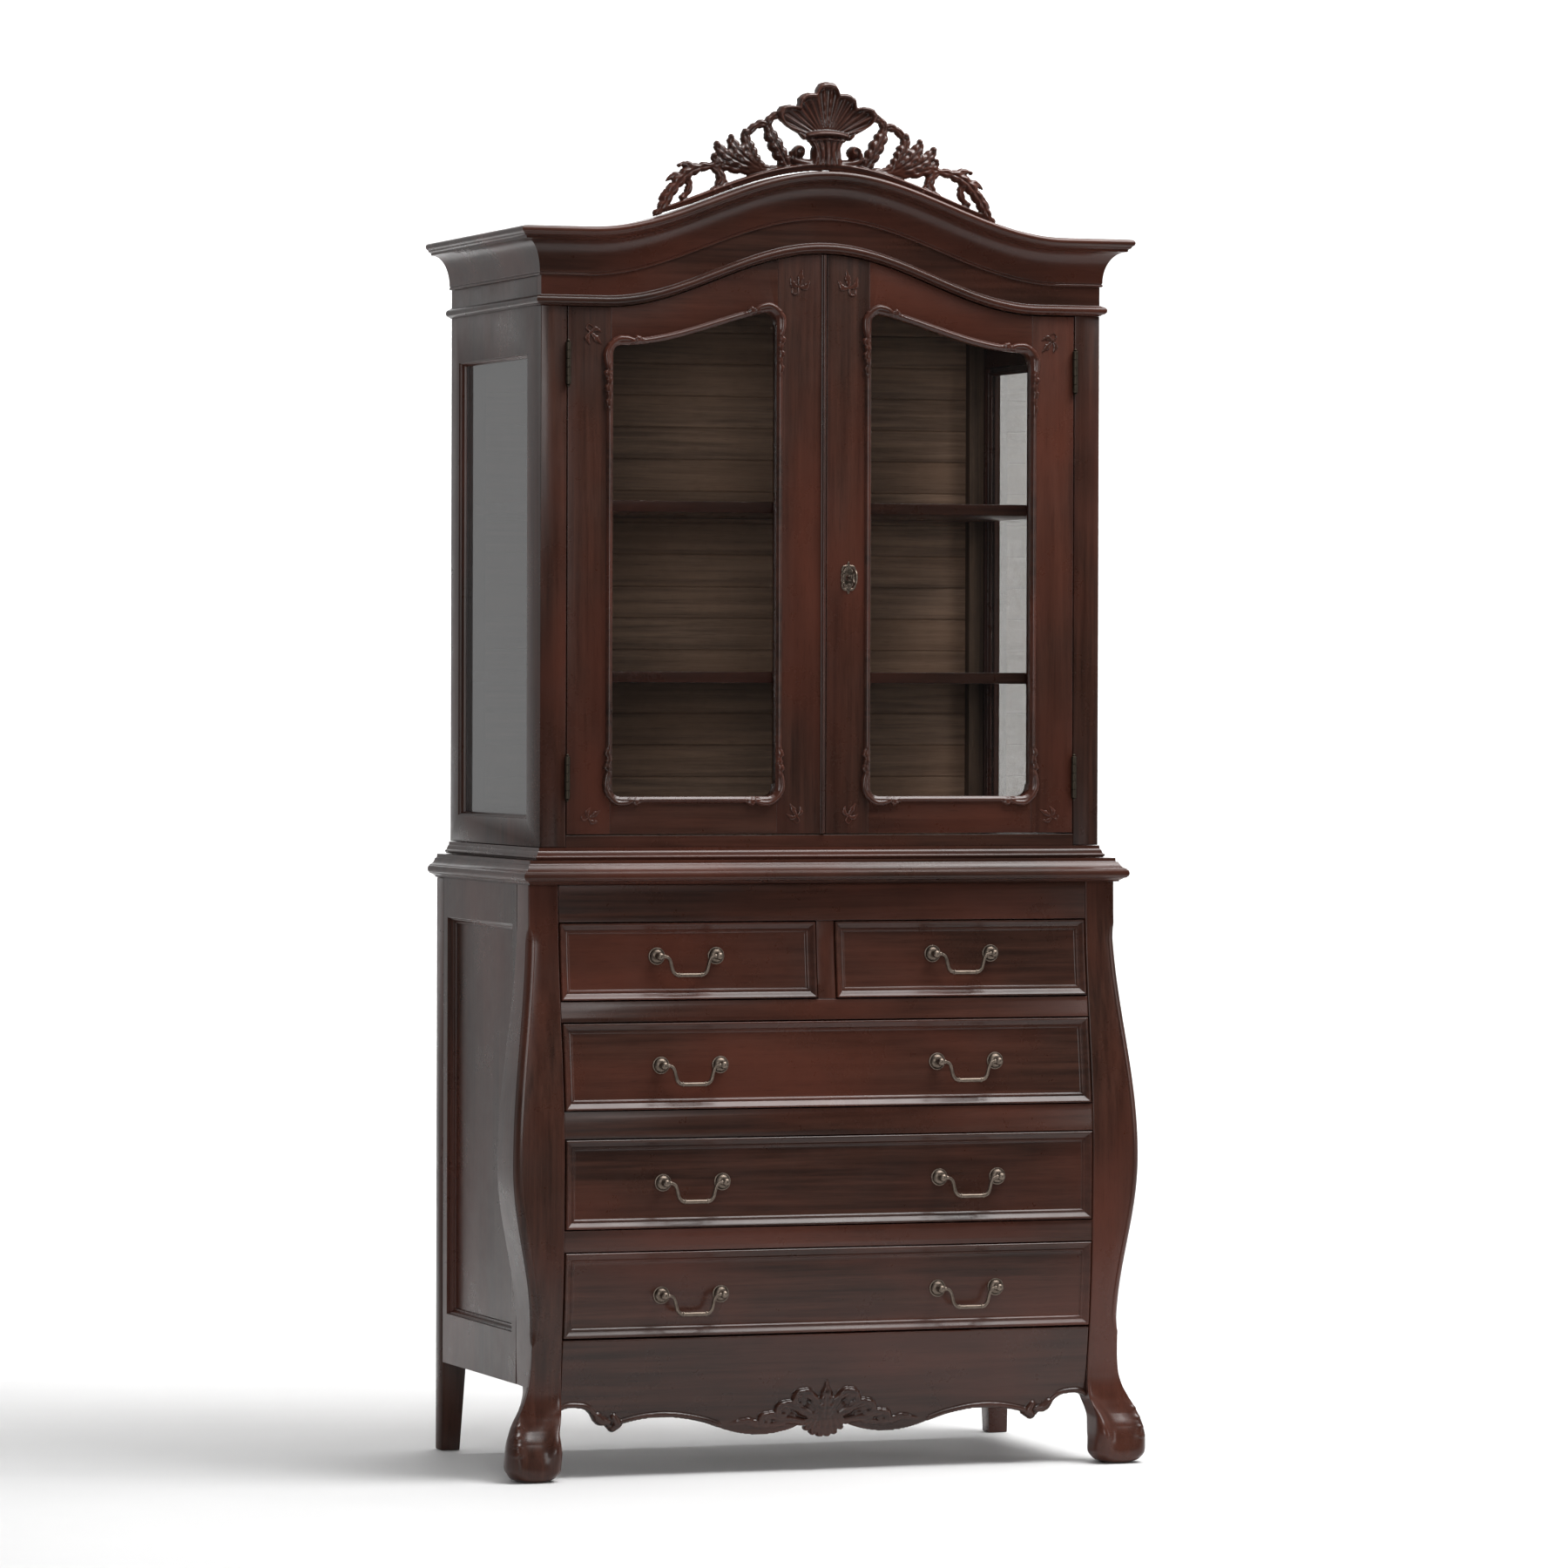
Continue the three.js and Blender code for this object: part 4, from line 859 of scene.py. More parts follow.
# %% [markdown]
# ## Apron
# The apron closes the chest under the lowest drawer. Its lower edge is fretted in scrolls near each leg and
# dips to a carved spray in the middle. It is sawn from one board, bent with the swelling, and then carved,
# so it is built as a relief whose ground follows the swelling.

# %% Fretted and carved apron
APRON_TOP = 223
APRON_TIP = 56
apron_scrolls = [
    ((0, 106), (12, 114), (26, 112)), ((26, 112), (50, 112), (60, 96)), ((60, 96), (66, 78), (80, 83)),
    ((80, 83), (94, 64), (108, 84)), ((108, 84), (185, 106), (270, 74)),
]
apron_leaf = [
    ((180, 74), (120, 50), (60, 66)), ((60, 66), (46, 70), (34, 77)), ((34, 77), (24, 60), (8, APRON_TIP)),
]


def quadratic(start, control, end, count=12):
    t = np.linspace(0, 1, count)[:, None]
    return (1 - t) ** 2 * np.array(start) + 2 * t * (1 - t) * np.array(control) + t ** 2 * np.array(end)


apron_half = BAY_HALF - GAP
strokes = [[(apron_half - u, v) for u, v in stroke] for stroke in apron_scrolls] + apron_leaf
lower_edge = np.vstack([quadratic(*stroke) for stroke in strokes] + [[(0, APRON_TIP)]])
order = np.argsort(lower_edge[:, 0])
apron = Relief((-apron_half, apron_half), (APRON_TIP - 2, APRON_TOP - GAP), 1.25)
grid_x, grid_z = np.meshgrid(apron.xs, apron.zs)
edge_height = np.interp(np.abs(grid_x), lower_edge[order, 0], lower_edge[order, 1])
apron_board = (grid_z >= edge_height) & (np.abs(grid_x) <= apron_half)

# A bead follows the fretted edge, and stops where the carving starts.
edge_line = [(u, v + 4.4) for u, v in lower_edge if u > 165]
apron.both_sides(edge_line[::3], [4.6], [4.2], samples=70)
# Two small curls stand where the fretting meets each leg.
apron.both_sides([(apron_half - 64, 98), (apron_half - 74, 90), (apron_half - 84, 88)], [7, 8, 5], [6, 8, 6])
apron.both_sides([(apron_half - 92, 96), (apron_half - 98, 85), (apron_half - 92, 78)], [6, 8, 7], [6, 9, 8])
# The spray: filled hearts, a standing leaf, flutes down to the tip, and on each side three curling leaves and
# a long one.
for x, z, radius in ((42, 115, 11), (68, 99, 10), (98, 84, 8), (26, 98, 14), (58, 88, 10)):
    apron.both_sides([(x, z), (x + 0.01, z)], [radius, radius], [4.6, 4.6], samples=2)
apron.stroke([(0, 82), (0, 104), (0, 124), (0, 145)], [13, 16, 11, 1.5], [8, 10, 8, 3], "leaf", 5)
for tip, width in (((6, 58), 6.5), ((18, 62), 6.5), ((29, 69), 6), ((38, 76), 5)):
    root = [(tip[0] * 0.35 + 1, 96), (tip[0] * 0.7, 82)]
    apron.both_sides(root + [tip], [4, width, width * 0.9], [7, 9, 6], "flute")
# Each leaf: its line, widths, heights and number of teeth.
leaves = [
    (((8, 92), (20, 115), (36, 127), (51, 122), (52, 110), (43, 107)),
     (6, 8.5, 8.5, 7, 6, 5), (6, 8, 8, 9, 8, 7), 5),
    (((14, 84), (42, 99), (66, 109), (81, 102), (79, 92), (70, 91)),
     (6, 8.5, 8, 7, 6, 5), (6, 8, 8, 9, 8, 7), 5),
    (((24, 79), (66, 84), (95, 92), (109, 87), (106, 78), (98, 78)),
     (5, 7, 7, 6, 5, 4), (5, 7, 7, 8, 7, 6), 5),
    (((70, 77), (106, 76), (134, 83), (160, 79)),
     (5, 7, 6, 2), (4, 5, 4, 1.5), 6),
]
for points, widths, rises, teeth in leaves:
    apron.both_sides(points, widths, rises, "leaf", teeth, samples=54)


def apron_face(x, z):
    return -belly_forward(z)


def apron_back(x, z):
    return np.full_like(z, DRAWER_BACK)


carving = finish_piece("carved_apron", *apron.solid(apron_face, apron_back, keep=apron_board), carved_wood,
                       instead_of=["apron"], crease=60)
ease_carving(carving, 0.5, 3)
print("apron carving covers", int((apron.height > 0).sum() * apron.step ** 2 / 100), "square cm")

# %% [markdown]
# ## Mouldings that wrap the case
# The waist, the step above it, the bead over the doors and the cornice are run as one section each, mitred
# round the front corners. The bead and the cornice rise over the middle. A moulding is its section carried
# along the wall: back to front on one side, across the front, and back again, so the same sweep makes them
# all.

# %% Waist, step, bead and cornice
BODY_HALF = 477
BASE_Z = 985
BODY_BOTTOM = 1005
FRIEZE_BOTTOM = 1868
BODY_TOP = 1985
CORNICE_Z = BODY_TOP + 8 - 78


def arc(centre, radius, start, end, count):
    """Points of a circular arc in a section, angles in degrees."""
    angles = np.radians(np.linspace(start, end, count))
    return [(centre[0] + radius * math.cos(a), centre[1] + radius * math.sin(a)) for a in angles]


def wrapped_moulding(section, half, front, z, lift=None, span=0):
    """The section (out, up) run round three sides of the case."""
    lift = lift or (lambda x: 0)
    across = np.linspace(-span, span, 81) if span else np.linspace(-half + 60, half - 60, 5)
    stations = [(-half, CHEST_DEPTH, -1, 0), (-half, front + 40, -1, 0), (-half, front, -1, -1)]
    stations += [(x, front, 0, -1) for x in across]
    stations += [(half, front, 1, -1), (half, front + 40, 1, 0), (half, CHEST_DEPTH, 1, 0)]
    rings = [[(x + sx * out, y + sy * out, z + up + float(lift(x))) for out, up in section]
             for x, y, sx, sy in stations]
    return loft(rings)


# The waist is a lid whose front overhangs more than its sides, so its ends are rings, not a sweep.
WAIST_SIDE, WAIST_FRONT = 16, 30
# How far each level stands in from the widest one, at the sides and at the front, and its height.
waist_levels = [
    (13, 14, 0.3), (13, 14, 2.5), (11.6, 11.6, 3.2), (9.5, 9.5, 4.6), (6.4, 6.6, 6.2), (3.4, 3.4, 7.0),
    (3.0, 3.0, 8.2), (1.2, 1.2, 9.4), (0.3, 0.3, 11.6), (0, 0, 14), (0.3, 0.3, 16.6), (1.4, 1.4, 18.8),
    (3.2, 3.2, 20.0), (3.8, 3.8, 21.2), (5.0, 5.2, 21.8), (7.2, 8.0, 22.8), (9.6, 11.2, 25.0),
    (11.4, 14.2, 28.0), (12.6, 17.2, 31.0), (13.0, 18.4, 32.0), (15.2, 21.4, 32.4), (15.8, 22.2, 33.4),
    (16.4, 22.6, 38.6),
]
waist = []
for side_in, front_in, up in waist_levels:
    x, y = CHEST_HALF + WAIST_SIDE - side_in, front_in - WAIST_FRONT
    waist.append([(-x, y, CHEST_TOP + up), (x, y, CHEST_TOP + up), (x, CHEST_DEPTH, CHEST_TOP + up),
                  (-x, CHEST_DEPTH, CHEST_TOP + up)])
finish_piece("waist_moulding_run", *loft(waist), mahogany["X"], instead_of=["waist_moulding"], crease=28)

step_section = [(-30, 0.3), (7, 0.3), *arc((7, 4.2), 2.2, -80, 60, 6), (7.2, 6.6), (6.2, 7.4), (5.6, 9.4),
                (4.8, 12.0), (3.2, 14.2), (2.4, 14.6), (2.2, 19.6), (-30, 19.6)]
# The floor of the cupboard lies behind the step, on the same height as the doors' lower edge.
floor_board = box_piece((-433.5, 433.5), (FRONT_BODY + 0.4, 497.5), (1004.5, 1023.6))
step_run = wrapped_moulding(step_section, BODY_HALF, FRONT_BODY, BASE_Z)
inner_board = box_piece((-446, 446), (45, 500), (985.5, 1004.4))
finish_piece("base_step_run", *step_run, mahogany["X"], instead_of=["cabinet_base"], crease=30)
finish_piece("cupboard_floor", *merged(floor_board, inner_board), mahogany["X"], bevel=0.7)

bead_section = [(GAP, 0.6), (2.2, 0.6), (2.6, 1.6), (3.8, 2.0), *arc((3.6, 8.8), 6.4, -78, 78, 12),
                (3.8, 15.4), (2.6, 15.8), (2.0, 16.8), (GAP, 16.9)]
bead_run = wrapped_moulding(bead_section, BODY_HALF, FRONT_BODY, FRIEZE_BOTTOM, door_arch, DOOR_SPAN)
finish_piece("arched_bead", *bead_run, mahogany["X"], instead_of=["bead_moulding"], crease=40)

# The cornice: a fine astragal, a deep cove, a fillet, and a thin rounded lip on top.
OUT = 45
cove = [(3.6 + (OUT - 15.5) * (1 - math.cos(a)), 6.4 + 50 * math.sin(a))
        for a in np.linspace(0, np.pi / 2, 14)]
cornice_section = [
    (GAP, 0.4), (2.0, 0.4), *arc((2.2, 2.4), 2.0, -80, 80, 6), (2.6, 5.2), *cove, (OUT - 9.6, 56.8),
    (OUT - 9.2, 60.4), (OUT - 7.0, 61.2), (OUT - 5.2, 62.6), (OUT - 4.6, 64.4),
    *arc((OUT - 5.6, 70.8), 5.6, -65, 88, 10), (OUT - 7, 76.6), (OUT - 12, 77.2), (-20, 77.8), (-20, 70.6),
    (GAP, 70.6),
]
cornice_run = wrapped_moulding(cornice_section, BODY_HALF, FRONT_BODY, CORNICE_Z, cornice_arch, CORNICE_SPAN)
finish_piece("arched_cornice", *cornice_run, mahogany["X"], instead_of=["cornice"], crease=32)
keep_node("frieze", mahogany["X"], 0)
print("mouldings wrapped round the case")

# %% [markdown]
# ## Case of the upper cabinet
# Each side is a frame that holds a tall pane. A small bead is planted round the opening to hide the pane's
# edge. The back is a row of horizontal planks, each cut from different wood and lapped over the next one
# behind a chamfered joint, and a batten stands in each back corner. The shelves rest against the battens.

# %% Side frames, panes, planks and shelves
window_y = (88, 465)
window_z = (1050, 1793)
PANE_X = (460.7, 464.7)


def window_bead(x_face, x_pane):
    """A moulded ring round the side window, between the face of the frame and the pane."""
    rings = []
    depth = x_face - x_pane
    for inset, share in ((0.2, 1.0), (5.5, 1.0), (5.5, 0.86), (4.6, 0.62), (3.0, 0.42), (2.2, 0.36),
                         (1.8, 0.16), (0.4, 0.10), (0.2, 0.10)):
        x = x_face - depth * share
        shrunk = four_corners((window_y[0] + inset, window_y[1] - inset),
                              (window_z[0] + inset, window_z[1] - inset))
        rings.append([(x, y, z) for y, z in shrunk])
    return loft(rings, caps=False, close_path=True)


beads = merged(window_bead(477, PANE_X[1] + 0.4), window_bead(453, PANE_X[0] - 0.4))
for hand, part in (("right", beads), ("left", mirrored(beads))):
    finish_piece(f"window_beads_{hand}", *part, mahogany["Z"], crease=25)
    keep_node(f"side_frame_{hand}", mahogany["Z"], 1.0)
    keep_node(f"side_glass_{hand}", old_glass, 0)

INSIDE_BACK = 498
PLANK_PITCH = 53
NARROWEST_PLANK = 20
PLANK_HALF = 452.6
plank_points, plank_faces, plank_numbers = [], [], []
plank_count = 0
low = BODY_BOTTOM + GAP
while low < BODY_TOP - NARROWEST_PLANK:
    high = min(low + PLANK_PITCH, BODY_TOP)
    if BODY_TOP - high < NARROWEST_PLANK:
        high = BODY_TOP
    cup = float(rng.uniform(0.2, 0.8))
    first, last = low < BODY_BOTTOM + 1, high == BODY_TOP
    tongue = high - 0.2 if last else high + 5.5
    groove = low + (0.2 if first else 6.0)
    # Depth behind the inner face, and height.
    section = [(2.0, low + 0.2), (cup, low + 1.8), (0.1, (low + high) / 2), (cup, high - 1.8),
               (2.0, high - 0.2), (6, high - 0.2), (6, tongue), (CHEST_DEPTH - INSIDE_BACK, tongue),
               (CHEST_DEPTH - INSIDE_BACK, groove), (5.5, groove), (5.5, low + 0.2)]
    # The top plank has no tongue, and the bottom one has no groove.
    if last:
        del section[5:7]
    if first:
        section.pop()
    points, faces = loft([[(x, INSIDE_BACK + y, z) for y, z in section] for x in (-PLANK_HALF, PLANK_HALF)])
    plank_faces.extend(tuple(i + len(plank_points) for i in face) for face in faces)
    plank_points.extend(points)
    plank_numbers.extend([float(rng.uniform(0, 40))] * len(points))
    plank_count += 1
    low = high
planks = finish_piece("planked_back", plank_points, plank_faces, plank_wood, instead_of=["cabinet_back"],
                      slot="inside_wood", crease=20)
planks.data.attributes["board"].data.foreach_set("value", np.array(plank_numbers, np.float32))

shelf_tops = (1286, 1560)
levels = [1023.8, shelf_tops[0] - 18.2, shelf_tops[0] + 0.2, shelf_tops[1] - 18.2, shelf_tops[1] + 0.2, 1959]
BATTEN = 26
battens = [box_piece((inner, inner + BATTEN), (478, 497.6), (levels[i], levels[i + 1]))
           for inner in (-PLANK_HALF, PLANK_HALF - BATTEN) for i in (0, 2, 4)]
finish_piece("corner_battens", *merged(*battens), inside_wood, slot="inside_wood", bevel=0.8)
for name in ("shelf_lower", "shelf_upper"):
    keep_node(name, mahogany["X"], 1.2)
keep_node("cabinet_roof", inside_wood)
print("planks:", plank_count)

# %% [markdown]
# ## Doors
# A door is two upright stiles with a rail between them at the foot and a shaped head above. Each member is
# its own board with its own grain, and the joints show as fine lines. The opening is grooved for the pane,
# and a carved moulding is planted round it on the face.

# %% Door members
DOOR_BOTTOM = 1026
DOOR_TOP = 1866
DOOR_OUTER = 432
OPENING = (80, 358)
DOOR_Y = (14, 38)
OPENING_LOW = 1085
CORNER = 20


def opening_top(x):
    share = np.clip((x - OPENING[0]) / (OPENING[1] - OPENING[0]), 0, 1)
    return DOOR_TOP + door_arch(x) - (80 - 21 * share)


def opening_outline(margin, count=25):
    """The glazed opening grown by a margin, from the lower inner corner anticlockwise."""
    x0, x1, low, r = OPENING[0] - margin, OPENING[1] + margin, OPENING_LOW - margin, CORNER
    top = lambda x: float(opening_top(x)) + margin
    out = [*quadratic((x0, low + r), (x0, low), (x0 + r, low), 7)]
    out += [*quadratic((x1 - r, low), (x1, low), (x1, low + r), 7)]
    out += [*quadratic((x1, top(x1 - r) - r), (x1, top(x1 - r)), (x1 - r, top(x1 - r)), 7)]
    out += [(x, top(x)) for x in np.linspace(x1 - r, x0 + r, count)[1:-1]]
    out += [*quadratic((x0 + r, top(x0 + r)), (x0, top(x0 + r)), (x0, top(x0 + r) - r), 7)]
    return [(float(u), float(v)) for u, v in out]


def door_members(inner):
    """Stiles, foot rail and head of the right-hand door, as boards between the door's two faces."""
    seam = 0.15
    head = lambda a, b, n: [(x, DOOR_TOP + float(door_arch(x))) for x in np.linspace(a, b, n)]
    x_in, x_out = OPENING[0] - 2.0, OPENING[1] + 2.0
    outline = opening_outline(0)
    inner_stile = [(inner, DOOR_BOTTOM), (x_in, DOOR_BOTTOM), *head(x_in, inner, 9)]
    outer_stile = [(x_out, DOOR_BOTTOM), (DOOR_OUTER, DOOR_BOTTOM), *head(DOOR_OUTER, x_out, 9)]
    lower = [p for p in outline if p[1] < OPENING_LOW + CORNER + 1 and x_in < p[0] < x_out]
    lower.sort(key=lambda p: -p[0])
    foot = [(x_in + seam, DOOR_BOTTOM), (x_out - seam, DOOR_BOTTOM), (x_out - seam, OPENING_LOW + CORNER),
            *lower, (x_in + seam, OPENING_LOW + CORNER)]
    upper = [p for p in outline if p[1] > 1500 and x_in < p[0] < x_out]
    upper.sort(key=lambda p: p[0])
    top_in = float(opening_top(OPENING[0] + CORNER)) - CORNER
    top_out = float(opening_top(OPENING[1] - CORNER)) - CORNER
    head_board = [(x_in + seam, top_in), *upper, (x_out - seam, top_out),
                  *head(x_out - seam, x_in + seam, 30)]
    return {"inner_stile": (inner_stile, "Z"), "outer_stile": (outer_stile, "Z"), "foot_rail": (foot, "X"),
            "head": (head_board, "X")}


for hand, inner in (("right", 6), ("left", -4)):
    first = True
    for member, (outline, axis) in door_members(inner).items():
        part = sawn_board([outline], *DOOR_Y, edge=0.5)
        part = part if hand == "right" else mirrored(part)
        finish_piece(f"door_{hand}_{member}", *part, mahogany[axis], f"door_{hand}",
                     [f"door_frame_{hand}"] if first else [], crease=30)
        first = False
    keep_node(f"door_glass_{hand}", old_glass, 0)
print("door members: 8")

# %% [markdown]
# ## Carved door mouldings
# The moulding round each pane is a slim rounded bead on a flat fillet. At each corner the bead thickens and
# rolls up into a scroll, a short one along the rail and a long one up or down the stile, and overlapping
# leaves and two pearls follow it. It is drawn once, as strokes that follow the opening, and mirrored for
# the other door.

# %% Scrolls and leaves round the panes
FACE_Y = DOOR_Y[0] - GAP


def lengths_along(line):
    return np.concatenate([[0], np.cumsum(np.hypot(*np.diff(line, axis=0).T))])


def path_along(points):
    """A function of length along a line, and of a step outwards from it, that gives the place."""
    line = np.asarray(points, float)
    lengths = lengths_along(line)

    def at(s, out=0.0):
        s = np.clip(s, 0, lengths[-1])
        x, z = np.interp(s, lengths, line[:, 0]), np.interp(s, lengths, line[:, 1])
        tx = np.interp(s + 2, lengths, line[:, 0]) - np.interp(s - 2, lengths, line[:, 0])
        tz = np.interp(s + 2, lengths, line[:, 1]) - np.interp(s - 2, lengths, line[:, 1])
        size = math.hypot(tx, tz) + 1e-9
        return (float(x + tz / size * out), float(z - tx / size * out))

    return at, lengths[-1]


def even_line(points, step=4.0):
    """A closed line of points resampled at even steps."""
    line = np.vstack([points, points[:1]])
    lengths = lengths_along(line)
    s = np.linspace(0, lengths[-1], int(lengths[-1] / step))
    return np.column_stack([np.interp(s, lengths, line[:, 0]), np.interp(s, lengths, line[:, 1])])


def corner_arm(relief, at, s, direction, length, lumps):
    """From a corner, a thick bead that rolls up, then overlapping leaves, then two pearls."""
    scroll = ((-0.1, 4), (0.3, 5.2), (0.65, 5.4), (0.9, 3.0), (0.98, 0.4), (0.84, 0.2))
    ends = [at(s + direction * length * u, out) for u, out in scroll]
    relief.stroke(ends, [5.2, 5.6, 5.4, 5.0, 4.4, 3.6], [7, 7.4, 7.2, 7, 6.6, 6], samples=40)
    reach = length + 7
    for i in range(lumps):
        size = 8.2 - 0.7 * i
        out = 3.6 if i % 2 == 0 else 0.8
        points = [at(s + direction * (reach - 7), out - 1), at(s + direction * reach, out),
                  at(s + direction * (reach + 8), out - 0.6)]
        relief.stroke(points, [size * 0.5, size, size * 0.4], [5, 7.4 - 0.3 * i, 4.4], "leaf", 2, samples=16)
        reach += 11.5
    for radius in (4.2, 3.4):
        relief.dome(*at(s + direction * (reach - 1), 0.4), radius, radius * 1.35)
        reach += 8


outline = opening_outline(4.5, 41)
carve = Relief((OPENING[0] - 17, OPENING[1] + 17), (OPENING_LOW - 17, 1990), 1.05)
around_pane = even_line(outline)
carve.stroke(around_pane, [6.0], [2.0], "flat", samples=260)
carve.stroke(around_pane, [3.7], [5.0], "round", samples=260)
at_edge, edge_length = path_along(around_pane)
corners = [(OPENING[0] - 1, OPENING_LOW - 1), (OPENING[1] + 1, OPENING_LOW - 1),
           (OPENING[1] + 1, float(opening_top(345)) + 1), (OPENING[0] - 1, float(opening_top(92)) + 1)]
steps_along = np.linspace(0, edge_length, len(around_pane))
for number, corner in enumerate(corners):
    s = steps_along[np.argmin(np.hypot(*(around_pane - corner).T))]
    s = s + edge_length if s < 90 else s
    wrap = lambda s, out=0.0: at_edge(s % edge_length, out)
    up_stile = 1 if number in (1, 3) else -1
    lumps = 3 if number < 2 else 5
    corner_arm(carve, wrap, s, up_stile, 40, lumps)
    corner_arm(carve, wrap, s, -up_stile, 36, 1)


def door_face(x, z):
    return np.full_like(z, FACE_Y)


moulding = carve.solid(door_face, lambda x, z: door_face(x, z) - 0.01 + 0.2)
for hand in ("right", "left"):
    part = moulding if hand == "right" else mirrored((moulding[0].tolist(), moulding[1]))
    carved = finish_piece(f"carved_moulding_{hand}", *part, carved_wood, f"door_{hand}",
                          [f"door_moulding_{hand}"], crease=60)
    ease_carving(carved, 0.5, 3)
print("moulding round a pane:", len(moulding[0]), "points")

# %% Small sprigs carved on the doors
def sprig(relief, x, z, turn, size):
    """Three veined leaves and a curl on a short stem."""
    for angle, length, width in ((-48, 0.75, 0.20), (0, 1.0, 0.22), (48, 0.75, 0.20)):
        a = math.radians(turn + angle)
        tip = (x + size * length * math.cos(a), z + size * length * math.sin(a))
        bend = math.radians(turn + angle * 1.6)
        middle = (x + size * 0.5 * length * math.cos(bend), z + size * 0.5 * length * math.sin(bend))
        widths = [size * 0.05, size * width, size * 0.04]
        relief.stroke([(x, z), middle, tip], widths, [0.9, 1.9, 0.8], "leaf", 3)
    a = math.radians(turn + 180)
    curl = [(x, z), (x + size * 0.35 * math.cos(a), z + size * 0.35 * math.sin(a)),
            (x + size * 0.5 * math.cos(a + 0.6), z + size * 0.5 * math.sin(a + 0.6)),
            (x + size * 0.38 * math.cos(a + 1.2), z + size * 0.38 * math.sin(a + 1.2))]
    relief.stroke(curl, [size * 0.07, size * 0.07, size * 0.06, size * 0.05], [1.2, 1.3, 1.2, 1.0])


sprigs = Relief((6, 431), (1027, 1955), 0.9)
for x, z, turn, size in ((395, 1826, 225, 26), (43, 1905, 100, 30), (396, 1052, 150, 24), (44, 1054, 60, 24)):
    sprig(sprigs, x, z, turn, size)
small = sprigs.solid(door_face, lambda x, z: door_face(x, z) + 0.35)
for hand in ("right", "left"):
    part = small if hand == "right" else mirrored((small[0].tolist(), small[1]))
    ease_carving(finish_piece(f"sprigs_{hand}", *part, carved_wood, f"door_{hand}", crease=60), 0.5, 2)
print("sprigs on each door: 4")

# %% [markdown]
# ## Meeting bead, hinges and lock
# The left door carries a round bead that covers the gap between the doors. Each door turns on two butt
# hinges whose knuckles show at the front. A cast plate frames the keyhole of the right door, and the key
# stands in it.

# %% Meeting bead and hinges
bead_half = 4
bead_face = FRONT_BODY - GAP
bead_top = DOOR_TOP + float(door_arch(bead_half)) - 1.2
bead_outline = [(-bead_half, bead_face), (-bead_half, bead_face - 1.2), (-2.9, bead_face - 1.5)]
bead_outline += [(2.9 * math.cos(a), bead_face - 1.9 - 3.0 * math.sin(a)) for a in np.linspace(np.pi, 0, 12)]
bead_outline += [(2.9, bead_face - 1.5), (bead_half, bead_face - 1.2), (bead_half, bead_face)]
rings = [[(x, y, z) for x, y in bead_outline] for z in (DOOR_BOTTOM + 0.2, bead_top)]
finish_piece("door_meeting_bead", *loft(rings), mahogany["Z"], "door_left", ["meeting_bead"], crease=40)

HINGE_X = 433
HINGE_Y = 9.2
HINGE_LENGTH = 76
hinge_heights = {"lower": 1116, "upper": 1776}


def butt_hinge(z):
    """Five knuckles on a pin with ball ends, and one leaf let into the post."""
    half = HINGE_LENGTH / 2
    knuckle = (HINGE_LENGTH - 8) / 5
    profile = [(0, -half), (1.6, -half + 0.2), (2.6, -half + 1.4), (2.6, -half + 2.6), (1.8, -half + 3.4)]
    for k in range(5):
        a = -half + 4 + k * knuckle
        profile += [(3.6, a + 0.15), (4.3, a + 0.7), (4.3, a + knuckle - 0.7), (3.6, a + knuckle - 0.15)]
    profile += [(1.8, half - 3.4), (2.6, half - 2.6), (2.6, half - 1.4), (1.6, half - 0.2), (0, half)]
    barrel = turned(profile, (HINGE_X, HINGE_Y, z), "Z", 20)
    leaf = box_piece((432.75, 433.65), (HINGE_Y, 33.8), (z - half + 0.3, z + half - 0.3))
    screws = [turned([(0, 0.05), (2.6, 0.05), (2.4, -0.25), (0, -0.35)], (432.75, y, z + dz), "X", 12)
              for y, dz in ((19, -26), (27, -9), (27, 9), (19, 26))]
    return merged(barrel, leaf, *screws)


for level, z in hinge_heights.items():
    for hand in ("right", "left"):
        part = butt_hinge(z) if hand == "right" else mirrored(butt_hinge(z))
        finish_piece(f"butt_hinge_{level}_{hand}", *part, dark_iron, instead_of=[f"hinge_{level}_{hand}"],
                     slot="pewter", crease=40)

# %% Key plate, key and lock
LOCK_X, LOCK_Z = 43, 1438
plate = Relief((LOCK_X - 13.8, LOCK_X + 13.8), (LOCK_Z - 25.8, LOCK_Z + 25.8), 0.5)
plate.stroke([(LOCK_X, LOCK_Z - 15), (LOCK_X, LOCK_Z), (LOCK_X, LOCK_Z + 15)], [6.5, 10.5, 6.5],
             [0.9, 1.3, 0.9], "flat")
for up in (-1, 1):
    z = lambda dz: LOCK_Z + up * dz
    plate.stroke([(LOCK_X, z(14)), (LOCK_X, z(25))], [6.0, 1.6], [2.2, 1.2], "leaf", 3)
    for s in (-1, 1):
        scroll = [(LOCK_X + s * 2, z(19)), (LOCK_X + s * 8, z(18)), (LOCK_X + s * 11, z(12)),
                  (LOCK_X + s * 8, z(8.5)), (LOCK_X + s * 6.5, z(12))]
        plate.stroke(scroll, [2.0, 2.4, 2.3, 2.0, 1.5], [1.8, 2.4, 2.3, 2.0, 1.8])
        plate.stroke([(LOCK_X + s * 10, z(9)), (LOCK_X + s * 11.8, z(4)), (LOCK_X + s * 11, z(0))],
                     [2.2, 2.0, 1.6], [2.0, 2.2, 1.8])
KEYHOLE_RADIUS = 4.3
away = np.hypot(*np.meshgrid(plate.xs - LOCK_X, plate.zs - LOCK_Z))
plate.height[away < KEYHOLE_RADIUS] = -1
cast_plate = plate.solid(door_face, lambda x, z: door_face(x, z) - 0.05 + 0.2, passes=1)
